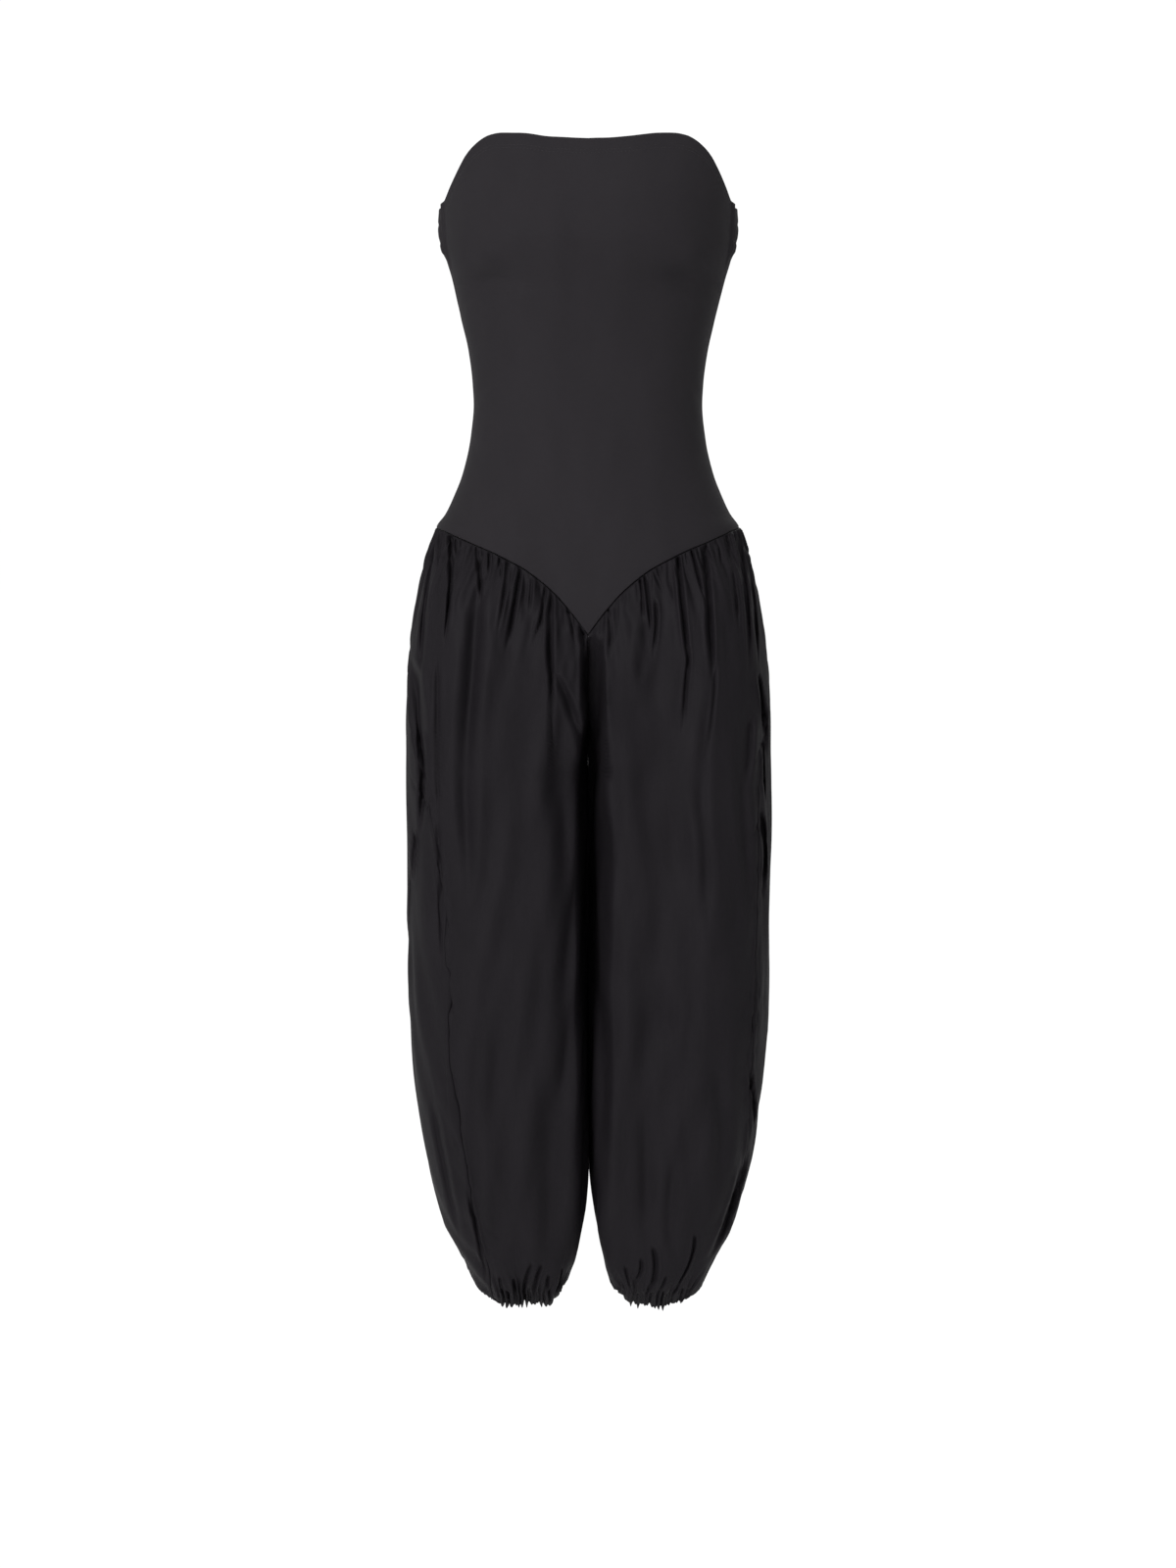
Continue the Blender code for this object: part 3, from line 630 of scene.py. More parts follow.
# ------------------------------------------------------------------------- bodice back
# The back is cut from the same jersey, straight across at the top, where a wide elastic casing
# bunches it up so that the garment grips the chest. It meets the legs in a shallow curve.
BACK_TOP = table("at level", (
    (0.00, 4.0), (0.60, 2.0), (1.00, -2.0),
))
BACK_HIP_SEAM = table("at level", (
    (0.00, -322.0), (0.50, -315.0), (1.00, SIDE_LEVEL),
))
BACK_CASING_HEIGHT = 48.0
BACK_CASING_STAND = 2.4
CASING_SEED = 11
CASING_GATHERS = 48
CASING_GATHER_STRAY = 0.3          # of the distance between two
CASING_GATHER_DEPTH = 3.64
CASING_LEAST_DEPTH = 0.45          # the shallowest, as a share of the deepest
CASING_GATHER_REACH = (5.0, 34.0)  # below the place where they begin to fade
CASING_FADE_FROM = 6.0             # above the casing's lower edge
BACK_CASING_EDGE = (0.0, 10.0)
BACK_CASING_TOP = (-3.0, 20.0)
BACK_CASING_ENDS = (0.0, 0.035)
CASING_TUCK = 4.0                  # beside the side seams, where the elastic is caught
CASING_TUCK_PLACE = 5.0
CASING_TUCK_TOP = 0.5              # its share at the top edge, and one more at the lower edge
CASING_ROWS_OF_ELASTIC = (14.0, 30.0, 43.0)  # stitched through the bunched cloth
CASING_ROW_WIDTH = 2.2
RIDGE_ROUNDNESS = 0.62
BACK_SWELL_SEED = 5
BACK_SWELL_SIZE = 40.0
BACK_SWELL = 0.35
BACK_WRINKLES = table("x z slope depth width length", (
    (-96, -78, 32, 1.1, 6.0, 26),
    (92, -84, 146, 1.0, 6.0, 24),
    (-70, -168, 12, 1.3, 7.0, 34),
    (64, -172, 170, 1.2, 7.0, 32),
    (0, -186, 3, 1.0, 7.5, 38),
    (-58, -208, 14, 1.1, 7.0, 30),
    (60, -214, 165, 1.0, 7.0, 30),
    (-100, -232, 124, 0.8, 5.0, 18),
    (101, -236, 56, 0.8, 5.0, 18),
))


def gather_lift(at, places, depths):
    """Cloth in rounded ridges between narrow troughs at the given places along a row."""
    index = np.clip(np.searchsorted(places, at, side="right") - 1, 0, len(places) - 2)
    share = (at - places[index]) / (places[index + 1] - places[index])
    share = np.clip(share, 0.0, 1.0)
    ridge = (4 * share * (1 - share)) ** RIDGE_ROUNDNESS
    near = np.take_along_axis(depths, index[..., None], axis=-1)[..., 0]
    far = np.take_along_axis(depths, index[..., None] + 1, axis=-1)[..., 0]
    return -(near * (1 - share) + far * share) * (1 - ridge)


def back_lifts(share, x, level, drop, from_seam):
    """The casing with its gathers, tucks and sunken rows of stitches, and wrinkles below it."""
    within = (past_edge(BACK_CASING_HEIGHT - drop, BACK_CASING_EDGE)
              * past_edge(drop, BACK_CASING_TOP))
    ends = past_edge(1 - np.abs(share), BACK_CASING_ENDS)
    chance = np.random.default_rng(CASING_SEED)
    count = CASING_GATHERS + 1
    stray = chance.uniform(-CASING_GATHER_STRAY, CASING_GATHER_STRAY, count)
    places = np.linspace(-1, 1, count) + stray * 2 / CASING_GATHERS
    places[0] = -1.0
    places[-1] = 1.0
    deep = chance.uniform(CASING_LEAST_DEPTH, 1.0, count) * CASING_GATHER_DEPTH
    reach = chance.uniform(*CASING_GATHER_REACH, count)
    below = np.maximum(drop - BACK_CASING_HEIGHT + CASING_FADE_FROM, 0.0)
    depths = deep * np.exp(-(below[..., None] / reach) ** 1.5)
    bunched = gather_lift(share, places, depths)
    pinched = -CASING_TUCK * (CASING_TUCK_TOP + drop / BACK_CASING_HEIGHT) * np.exp(
        -((from_seam - CASING_TUCK_PLACE) / CASING_TUCK_PLACE) ** 2)
    for row in CASING_ROWS_OF_ELASTIC:
        pinched -= np.exp(-((drop - row) / CASING_ROW_WIDTH) ** 2)
    swells = unevenness(x, level, BACK_SWELL_SEED, BACK_SWELL_SIZE, BACK_SWELL)
    return (ends * (within * (BACK_CASING_STAND + pinched) + bunched)
            + past_edge(from_seam, FREE_CLOTH)
            * (wrinkle_lift(x, level, BACK_WRINKLES) + swells))


back_grid, back_out = bodice_grid(False, BACK_TOP, BACK_HIP_SEAM, back_lifts)
bodice_back = make_bodice("bodice_back_jersey", back_grid, back_out, True)
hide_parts("bodice_back")
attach(bodice_back, "root")

# -------------------------------------------------------------------------------- legs
# Each leg is two panels of thin plain-weave cloth with a soft sheen, cut much wider than the
# hips. They are gathered onto the hip seam and again into an elastic casing at the calf, and
# the fullness hangs between in long soft folds. The side seams are puckered by their stitching.

# Sections of a leg: how far their points dip at the centre front and back; how far out lie the
# inner wall, the crown, which stands furthest forward and back, and the outer side; and the
# depths at the crown and at the inner wall, to the front and to the back.
LEG = table("level front_dip back_dip inner crown outer front back front_inner back_inner", (
    (-304, 98, 18, 0.0, 84, 149.0, 107, 117, 106.0, 116.0),
    (-321, 93, 16, 0.0, 84, 155.0, 113, 124, 109.0, 121.0),
    (-336, 88, 14, 0.0, 85, 159.5, 117, 128, 111.0, 125.0),
    (-365, 77, 10, 0.0, 86, 166.5, 120, 132, 113.0, 129.0),
    (-410, 52, 6, 0.0, 88, 175.0, 122, 134, 109.0, 127.0),
    (-450, 30, 3, 0.0, 90, 179.0, 122, 131, 98.0, 117.0),
    (-490, 12, 1, 0.0, 91, 180.5, 121, 127, 75.0, 94.0),
    (-525, 3, 0, 0.0, 91, 181.0, 120, 124, 36.0, 50.0),
    (-548, 0, 0, 0.03, 91, 181.5, 119, 122, 0.0, 0.0),
    (-620, 0, 0, 0.03, 92, 182.0, 116, 117, 0.0, 0.0),
    (-700, 0, 0, 0.03, 92, 182.0, 113, 112, 0.0, 0.0),
    (-785, 0, 0, 0.03, 92, 182.0, 108, 107, 0.0, 0.0),
    (-850, 0, 0, 0.03, 90, 178.5, 103, 102, 0.0, 0.0),
    (-910, 0, 0, 0.03, 87, 172.0, 96, 96, 0.0, 0.0),
    (-955, 0, 0, 1.0, 83, 164.5, 89, 90, 0.0, 0.0),
    (-986, 0, 0, 3.4, 81, 157.2, 82, 84, 0.0, 0.0),
    (-1018, 0, 0, 8.5, 78, 148.0, 73, 76, 0.0, 0.0),
    (-1050, 0, 0, 14.5, 74, 131.5, 65, 69, 0.0, 0.0),
    (-1063, 0, 0, 18.5, 72, 125.5, 61, 65, 0.0, 0.0),
    (-1076, 0, 0, 22.0, 71, 120.5, 54, 58, 0.0, 0.0),
    (-1083, 0, 0, 25.0, 70, 118.0, 48, 52, 0.0, 0.0),
    (-1088, 0, 0, 30.5, 70, 112.5, 43, 46, 0.0, 0.0),
    (-1093, 0, 0, 37.5, 70, 103.0, 38, 41, 0.0, 0.0),
))
LEG_ROUNDNESS = 2.25
INNER_FRONT_ROUNDNESS = {"left": 3.3, "right": 4.2}
SEAM_FADE = 60.0                   # below the hip seam, from the body's form to the leg's

# How far forward of the leg's middle the side seams lie.
SIDE_SEAMS = tables("level forward", left=(
    (-304, 0), (-400, 8), (-480, 50), (-560, 88), (-640, 97), (-750, 96), (-850, 90), (-910, 87),
    (-955, 81), (-986, 74), (-1018, 66.5), (-1050, 58.5), (-1076, 45.5), (-1093, 31),
), right=(
    (-304, 0), (-400, 6), (-480, 42), (-560, 76), (-640, 80), (-770, 78), (-850, 72), (-910, 60),
    (-955, 50), (-1018, 37), (-1050, 30), (-1093, 22),
))

LEG_SKEW = -0.05                   # sideways for each millimetre towards the back
SKEW_FROM = -540.0                 # the level where it begins
SKEW_FULL = -640.0                 # and that where it is full
INSEAM_SHOWS_LEVEL = -930.0        # the legs touch above it
INSEAM_FADE = 60.0
LEG_COLUMNS = 250
COLUMN_SAMPLES = 200               # places at which their density is worked out
INNER_WALL_DENSITY = 0.45          # of the columns between the legs, as a share of the others'
INNER_WALL_SHARE = 0.75            # of the way to the crown
INNER_WALL_FADE = 30.0
WOVEN_DARK = (0.0045, 0.0039, 0.0048)
WOVEN_LIGHT = (0.0123, 0.0109, 0.0130)
WOVEN_SLUBS = (0.0022, 0.030)      # thick places in the warp, in metres across and down
WOVEN_CLOUDS = (0.030, 0.110)      # and so for uneven dye, crinkles and threads
WOVEN_CRINKLES = (0.010, 0.022)
WOVEN_THREADS = (0.00055, 0.00060)
CRINKLE_RELIEF = 0.0009            # metres
WOVEN_RELIEF = 0.00010

# Distances from a seam over which the cloth comes free of it, from flat to its full depth.
SIDE_SEAM_HOLD = (0.0, 8.0)
INNER_SEAM_HOLD = (0.0, 6.0)
HIP_SEAM_HOLD = (0.0, 2.5)
CALF_SEAM_HOLD = (0.0, 3.0)
VALLEY_HOLD = (0.0, 8.0)
SWELL_HOLD = (0.0, 40.0)

# The rows of points, closest where the cloth is gathered.
LEG_ROW_BANDS = table("top bottom step", (
    (-305.4, -350, 2.2),
    (-350, -600, 4.6),
    (-600, -1000, 8.5),
    (-1000, -1050, 3.0),
    (-1050, -1093, 1.5),
))

# Creases and troughs, as seen from the front or back: the upper end, a place on the way and the
# lower end, the depth in the middle, and the width at half that depth.
CREASES = tables("x1 z1 x2 z2 x3 z3 depth width", front_left=(
    (-147, -316, -154, -358, -162, -446, 8.6, 3.8),
    (-172, -432, -166, -468, -164, -524, 17.0, 9.0),
    (-163, -496, -160, -540, -168, -604, 12.0, 4.6),
    (-143, -430, -144, -520, -146, -600, 5.0, 3.8),
    (-147, -588, -148, -660, -146, -740, 5.0, 3.6),
    (-172, -604, -174, -622, -177, -648, 8.0, 2.4),
    (-142, -308, -144, -325, -143, -346, 3.8, 2.0),
    (-133, -306, -131, -340, -137, -416, 8.2, 3.2),
    (-127, -310, -126, -319, -127, -332, 3.4, 1.8),
    (-107, -318, -103, -345, -101, -374, 5.7, 2.4),
    (-95, -322, -94, -333, -95, -348, 3.6, 1.8),
    (-84, -325, -83, -338, -81, -352, 4.0, 2.2),
    (-76, -328, -78, -354, -86, -402, 4.6, 2.4),
    (-64, -340, -68, -366, -78, -416, 6.9, 2.8),
    (-74, -368, -74, -388, -72, -420, 3.0, 8.0),
    (-53, -347, -54, -362, -55, -380, 3.8, 1.9),
    (-40, -356, -43, -380, -54, -412, 5.7, 2.3),
    (-35, -364, -36, -400, -34, -462, 10.3, 3.8),
    (-34, -430, -35, -474, -35, -540, 6.0, 2.8),
    (-30, -438, -16, -472, -3, -536, 5.5, 5.5),
    (-19, -374, -17, -388, -12, -410, 4.8, 2.3),
    (-6, -392, -3, -430, -7, -484, 11.0, 3.4),
    (-104, -362, -114, -490, -121, -670, 10.0, 12.0),
    (-27, -500, -25, -680, -30, -900, 6.5, 15.0),
    (-40, -840, -42, -980, -36, -1062, 7.0, 20.0),
    (-112, -800, -116, -920, -108, -1030, 2.6, 9.0),
    (-157, -880, -147, -943, -131, -1020, 5.5, 5.4),
    (-123, -966, -113, -1016, -105, -1066, 4.6, 3.0),
    (-60, -1040, -66, -1060, -68, -1084, 4.0, 2.8),
    (-50, -1042, -55, -1058, -56, -1084, 4.4, 3.0),
    (-43, -1054, -44, -1066, -42, -1082, 3.2, 2.4),
    (-78, -1058, -77, -1070, -76, -1084, 3.0, 2.2),
    (-92, -1056, -90, -1070, -86, -1084, 2.8, 2.2),
    (-29, -1050, -31, -1066, -36, -1080, 3.0, 2.4),
), front_right=(
    (19, -374, 21, -398, 19, -426, 5.5, 2.7),
    (13, -404, 14, -440, 17, -500, 4.0, 2.4),
    (33, -358, 35, -366, 34, -376, 2.4, 1.8),
    (48, -346, 51, -364, 51, -388, 4.8, 2.1),
    (53, -345, 57, -372, 60, -404, 5.5, 2.4),
    (64, -370, 64, -395, 61, -422, 4.6, 2.4),
    (60, -338, 65, -350, 71, -362, 3.2, 2.0),
    (54, -392, 53, -414, 48, -450, 3.4, 9.0),
    (78, -332, 80, -350, 82, -376, 2.6, 2.8),
    (85, -324, 90, -384, 97, -442, 7.7, 3.2),
    (95.5, -418, 92.5, -452, 91, -494, 4.2, 2.6),
    (97, -318, 104, -346, 112, -376, 5.2, 2.3),
    (101, -316, 103, -325, 104, -334, 2.6, 1.8),
    (112, -313, 114, -370, 119, -456, 8.6, 4.2),
    (121, -432, 118, -476, 113, -522, 2.8, 2.4),
    (156, -486, 155, -520, 154, -548, 6.0, 5.4),
    (115, -326, 118, -336, 121, -348, 3.2, 2.0),
    (122, -312, 126, -326, 127, -344, 2.8, 1.9),
    (135, -308, 136, -320, 136, -334, 2.6, 1.9),
    (138, -344, 141, -368, 143, -396, 4.6, 2.4),
    (147, -310, 151, -360, 155, -440, 8.2, 3.4),
    (157, -346, 162, -386, 164, -436, 8.6, 2.6),
    (164, -446, 171, -480, 175, -524, 14.0, 3.2),
    (171, -508, 172, -540, 174, -576, 10.0, 2.2),
    (167, -580, 171, -622, 168, -664, 12.0, 3.0),
    (62, -410, 66, -600, 62, -830, 9.0, 38.0),
    (60, -760, 62, -920, 64, -1050, 8.0, 38.0),
    (112, -470, 108, -580, 110, -700, 4.0, 9.0),
    (152, -480, 149, -580, 153, -680, 3.4, 8.0),
    (96, -760, 92, -860, 98, -980, 2.6, 11.0),
    (121, -830, 127, -890, 122, -960, 4.2, 13.0),
    (50, -880, 54, -950, 51, -1020, 4.0, 12.0),
    (82, -930, 78, -980, 84, -1040, 3.6, 10.0),
    (156, -842, 163, -880, 165, -914, 9.0, 3.0),
    (156, -936, 139, -998, 119, -1042, 11.0, 6.5),
    (62, -1022, 65, -1048, 54, -1084, 5.0, 3.6),
    (50, -1036, 50, -1050, 42, -1066, 3.6, 3.0),
    (104, -1010, 100, -1040, 80, -1076, 4.6, 2.6),
    (76, -1054, 72, -1066, 66, -1082, 3.0, 2.4),
    (92, -1060, 88, -1070, 84, -1084, 2.8, 2.2),
    (34, -1046, 38, -1062, 45, -1080, 3.0, 2.4),
), back_left=(
    (-22, -322, -27, -372, -25, -432, 5.6, 3.2),
    (-36, -320, -38, -336, -37, -352, 3.0, 2.0),
    (-50, -317, -53, -346, -50, -384, 4.4, 2.6),
    (-73, -315, -81, -368, -79, -446, 6.4, 3.6),
    (-88, -313, -90, -328, -88, -346, 3.0, 2.0),
    (-100, -311, -106, -340, -105, -378, 4.4, 2.6),
    (-124, -307, -131, -362, -136, -436, 6.0, 3.4),
    (-140, -306, -146, -328, -148, -352, 3.4, 2.2),
    (-60, -396, -67, -500, -62, -660, 4.6, 13.0),
    (-112, -430, -118, -560, -110, -720, 4.4, 14.0),
    (-30, -470, -36, -620, -30, -800, 3.6, 13.0),
    (-86, -660, -80, -780, -88, -920, 3.6, 15.0),
    (-44, -860, -52, -960, -60, -1046, 3.6, 14.0),
    (-98, -1012, -92, -1044, -84, -1080, 4.4, 2.8),
    (-64, -1030, -62, -1054, -67, -1082, 4.0, 2.6),
    (-42, -1042, -46, -1060, -45, -1082, 3.4, 2.4),
), back_right=(
    (16, -324, 21, -356, 18, -394, 4.4, 2.8),
    (30, -321, 31, -336, 30, -350, 3.0, 2.0),
    (43, -319, 40, -372, 44, -440, 6.2, 3.4),
    (60, -316, 63, -332, 62, -350, 3.0, 2.0),
    (74, -315, 78, -346, 77, -386, 4.2, 2.6),
    (94, -312, 102, -372, 100, -452, 6.6, 3.6),
    (112, -309, 114, -326, 113, -344, 3.0, 2.2),
    (126, -307, 131, -342, 132, -384, 4.4, 2.6),
    (143, -305, 149, -352, 152, -418, 5.4, 3.2),
    (66, -410, 60, -520, 68, -660, 4.4, 13.0),
    (116, -450, 120, -580, 112, -740, 4.4, 14.0),
    (28, -480, 34, -640, 30, -840, 3.6, 13.0),
    (84, -680, 90, -820, 82, -960, 3.6, 15.0),
    (50, -880, 56, -960, 62, -1040, 3.4, 13.0),
    (102, -1004, 94, -1040, 86, -1080, 4.6, 2.8),
    (70, -1034, 73, -1056, 68, -1082, 4.0, 2.6),
    (46, -1040, 44, -1060, 48, -1082, 3.4, 2.4),
))

# The same at a leg's outer side, with y for x, on both of its panels and over their seam.
SIDE_CREASES = tables("y1 z1 y2 z2 y3 z3 depth width", left=(
    (-66, -600, -58, -624, -50, -648, 3.4, 3.0),
    (-38, -650, -28, -680, -20, -708, 3.4, 3.0),
    (-93, -630, -97, -672, -99, -716, 3.0, 2.2),
    (-97, -730, -96, -756, -99, -784, 4.6, 2.6),
    (-92, -838, -90, -868, -87, -900, 4.6, 2.6),
    (-26, -322, -34, -352, -32, -402, 3.0, 3.0),
    (4, -322, 10, -362, 6, -436, 3.4, 3.4),
    (36, -320, 44, -346, 42, -392, 3.0, 2.8),
    (14, -470, 26, -610, 16, -780, 5.0, 14.0),
    (-14, -700, 4, -820, 0, -960, 4.0, 13.0),
    (48, -800, 42, -900, 34, -1010, 4.0, 13.0),
    (22, -1006, 14, -1040, 16, -1080, 4.0, 2.6),
    (-16, -1012, -8, -1044, -11, -1080, 4.0, 2.6),
), right=(
    (-77, -744, -78, -778, -80, -812, 4.6, 2.6),
    (-66, -856, -62, -886, -56, -920, 3.6, 2.6),
    (-20, -322, -14, -350, -16, -396, 3.0, 3.0),
    (16, -322, 8, -372, 12, -448, 3.4, 3.4),
    (44, -320, 50, -342, 47, -384, 3.0, 2.8),
    (-6, -480, 10, -620, 2, -790, 5.0, 14.0),
    (36, -690, 24, -820, 30, -950, 4.4, 14.0),
    (-26, -820, -18, -910, -10, -1000, 3.6, 12.0),
    (10, -1008, 16, -1040, 12, -1080, 4.0, 2.6),
    (-24, -1014, -16, -1046, -20, -1080, 4.0, 2.6),
))
OUTER_SIDE = (105.0, 125.0)        # the outer side begins this far from the centre
OUTER_SIDE_CALM = 0.6              # the share of its swells that it goes without
CREASE_BLEND = 12.0                # to either side of the leg's middle, from front to back
TROUGH_RIDGE = 0.24                # the height of the ridges beside a trough that is 1 deep
TROUGH_RIDGE_PLACE = 2.5           # half widths from its middle
TROUGH_RIDGE_WIDTH = 1.1
TROUGH_NARROWNESS = 0.69           # makes it half as deep at one half width
CREASE_BENDS_ON = 0.1              # past either end, as a share of a crease's length
CREASE_START = 0.4                 # how far it has come in where it starts, and how fast it does
CREASE_START_STEEPNESS = 5
CREASE_END = 1.04                  # the share of its length where it is gone, and how fast it goes
CREASE_END_STEEPNESS = 2.2
CREASE_TIP = 0.7                   # a crease's width at its ends, as a share of that in the middle

# Puckers across the side seams: the level, the depth, how far they run into the cloth, and how
# much lower they lie for each millimetre away from the seam.
PUCKER_STRENGTH = 1.4
PUCKER_WIDTH = 3.4
PUCKERS = tables("level depth reach slant", left=(
    (-420, 0.9, 14, 0.5), (-452, 1.3, 20, -0.6), (-497, 0.8, 12, 0.4), (-538, 1.2, 18, 0.7),
    (-571, 1.6, 24, -0.8), (-612, 1.0, 14, 0.6), (-648, 1.3, 20, 0.9), (-690, 0.8, 13, -0.5),
    (-731, 1.4, 22, 0.7), (-768, 0.9, 15, 0.5), (-790, 1.2, 19, -0.7), (-835, 1.4, 22, 0.8),
    (-868, 0.9, 14, -0.6), (-902, 1.5, 24, 0.9), (-934, 1.1, 17, 0.6), (-958, 1.4, 22, -0.7),
    (-990, 1.2, 20, 0.9), (-1022, 1.0, 16, 0.6),
), right=(
    (-431, 1.1, 17, -0.6), (-470, 0.8, 12, 0.5), (-508, 1.3, 21, 0.8), (-556, 0.9, 14, -0.5),
    (-590, 1.5, 23, 0.8), (-633, 1.0, 15, 0.5), (-671, 1.3, 20, -0.8), (-715, 0.9, 14, 0.6),
    (-752, 1.4, 22, 0.9), (-786, 1.5, 24, -0.7), (-812, 1.1, 18, 0.6), (-858, 1.4, 21, 0.8),
    (-892, 1.2, 18, -0.6), (-931, 1.0, 15, 0.7), (-965, 1.4, 22, 0.9), (-1003, 1.1, 17, -0.5),
))

# The side seams' allowances raise a low welt beside them.
WELT_LIFT = 0.8
WELT_PLACE = 3.0
WELT_WIDTH = 1.8
WELT_WAVE = 38.0                   # its height rises and falls over this length
WELT_WAVE_SHARE = 0.3

# Small gathers at the hip seam of one panel and at its calf casing: how many, the least and most
# of their depth and width, the longest reach and the least share of it, how uneven their reaches
# are, how far they lean and stray, and the distance over which they double in width.
HIP_GATHERS, CALF_GATHERS = table(
    "count depth width reach least power lean stray widening", (
        (40, (0.9, 2.9), (1.5, 2.2), 30.0, 0.35, 1.6, 0.22, 0.35, 60.0),
        (34, (1.2, 3.4), (1.5, 2.6), 26.0, 0.3, 2, 0.15, 1.6, 30.0),
    ))
HIP_GATHER_ENDS = (0.012, 0.985)   # shares of the seam
CALF_SPLAY = 90.0                  # how far from the middle of the calf they lean at 45 degrees

# Soft swells all over the legs, and smaller ones that fade below the hip seam.
LEG_SWELL = 1.3
LEG_SWELL_SIZE = 40.0
SEAM_SWELL = 0.9
SEAM_SWELL_SIZE = 15.0
SEAM_SWELL_REACH = 70.0

# The cloth sinks back between the thighs, down to where the legs part.
CENTRE_VALLEY = table("level depth middle half_width", (
    (-402, 0.0, 5.0, 6.0),
    (-416, 18.0, 6.0, 7.5),
    (-430, 28.0, 6.0, 8.5),
    (-450, 35.0, 6.0, 9.0),
    (-475, 40.0, 6.0, 9.5),
    (-540, 43.0, 4.0, 12.0),
    (-620, 43.0, 3.0, 13.0),
    (-760, 30.0, 0.0, 13.5),
    (-860, 15.0, 2.0, 14.5),
    (-920, 7.0, 2.0, 14.5),
    (-990, 0.0, 2.0, 14.5),
))
VALLEY_STEEPNESS = 6

# The calf casing, from its stitching down to the hem.
CASING_STITCH_LEVEL = -1078.0
CASING_STITCH_DEPTH = 0.4
CASING_STITCH_WIDTH = 1.6
HEM_RUFFLE = 1.0
HEM_RUFFLE_SIZE = 6.0
HEM_SAG = 4.0                      # at the middle of the calf, and none this far from it
HEM_SAG_REACH = 34.0
RUFFLE_FADE = 16.0                 # from the stitching down to where both are full


def woven_material():
    """Thin black plain weave with a soft sheen, slubs along its warp and fine crinkles."""
    material, wire, shader = start_material("black_woven", {
        "Metallic": 0.0, "Specular IOR Level": 0.05, "Sheen Weight": 0.0,
        "Sheen Roughness": 0.35})
    slubs = noise(wire, *WOVEN_SLUBS, 2.0)
    cloudy = noise(wire, *WOVEN_CLOUDS, 4.0)
    crinkle = noise(wire, *WOVEN_CRINKLES, 3.0)
    weave = threads(wire, *WOVEN_THREADS)
    crinkled = wire.add("ShaderNodeBump", {}, {
        "Strength": 0.35, "Distance": CRINKLE_RELIEF, "Height": crinkle})
    relief = wire.add("ShaderNodeBump", {}, {
        "Strength": 0.5, "Distance": WOVEN_RELIEF, "Height": weave * 0.7 + slubs * 0.6,
        "Normal": crinkled})
    feed(shader, {
        "Base Color": shade(wire, slubs * 0.25 + cloudy * 0.6 + weave * 0.15,
                            WOVEN_DARK, WOVEN_LIGHT),
        "Roughness": 0.54 + cloudy * 0.10 + slubs * 0.06,
        "Normal": relief})
    return material


def leg_rows():
    """Levels of the rows of points, closest where the cloth is gathered."""
    levels = [SIDE_LEVEL - distance for distance in SEAM_ROUND[:-1]]
    for band in LEG_ROW_BANDS:
        count = math.ceil((band.top - band.bottom) / band.step)
        levels.extend(np.linspace(band.top, band.bottom, count, endpoint=False))
    return np.array(levels + [LEG_ROW_BANDS[-1].bottom])


def column_shares(from_crown, span):
    """Shares of a panel's width at its columns, further apart on the wall between the legs."""
    at = np.linspace(0.0, 1.0, COLUMN_SAMPLES)
    turned = smoothstep((INNER_WALL_SHARE * from_crown - at * span) / INNER_WALL_FADE)
    density = 1 - (1 - INNER_WALL_DENSITY) * turned
    count = running_total((density[1:] + density[:-1]) / 2)
    return np.interp(np.linspace(0.0, count[-1], LEG_COLUMNS + 1), count, at)


def leg_base(is_front, hand, levels):
    """Points of the smooth leg, before its folds and on the right of the body.

    With them come each point's distance from the centre or inner seam, the whole distance from
    there to the side seam, and that from the crown, down which the leg's folds hang.
    """
    hip_seam = FRONT_HIP_SEAM if is_front else BACK_HIP_SEAM
    columns = {field: read_smoothly(LEG, field, levels) for field in LEG[0]._fields[1:]}
    forward = read_smoothly(SIDE_SEAMS[hand], "forward", levels)
    edges = len(SEAM_ROUND) - 1
    far = seam_margins(LEG_COLUMNS + 1 + edges)
    near = far[::-1]
    grid = np.zeros((len(levels), len(near), 3))
    along = np.zeros((len(levels), len(near)))
    span = np.zeros_like(along)
    hang = np.zeros_like(along)
    for i in range(len(levels)):
        row = {field: values[i] for field, values in columns.items()}
        front = (row["crown"], -row["front"])
        side = (row["outer"], 0.0)
        back = (row["crown"], row["back"])
        curve = SectionCurve((
            quarter_turn((row["inner"], -row["front_inner"]), front, "y",
                         INNER_FRONT_ROUNDNESS[hand]),
            quarter_turn(front, side, "x", LEG_ROUNDNESS),
            quarter_turn(side, back, "y", LEG_ROUNDNESS),
            quarter_turn(back, (row["inner"], row["back_inner"]), "x", LEG_ROUNDNESS),
        ))
        seam = curve.distance_to_seam(forward[i])
        span[i] = seam if is_front else curve.length - seam
        crown = CURVE_POINTS - 1 if is_front else 3 * CURVE_POINTS - 3
        from_crown = curve.distance[crown] if is_front else curve.length - curve.distance[crown]
        even = column_shares(from_crown, span[i, 0])
        shares = np.concatenate((np.zeros(edges), even, np.ones(edges)))
        along[i] = SEAM_GAP / 2 + near + shares * (span[i] - SEAM_GAP - near - far)
        hang[i] = along[i] - from_crown
        at = (along[i] - SEAM_GAP / 2) / (span[i] - SEAM_GAP)
        fall = ((SIDE_LEVEL - read_smoothly(hip_seam, "level", at))
                / (SIDE_LEVEL - hip_seam[0].level))
        grid[i, :, :2] = curve.place(along[i] if is_front else curve.length - along[i])
        grid[i, :, 2] = levels[i] - row["front_dip" if is_front else "back_dip"] * fall - SEAM_GAP
    return grid, along, span, hang


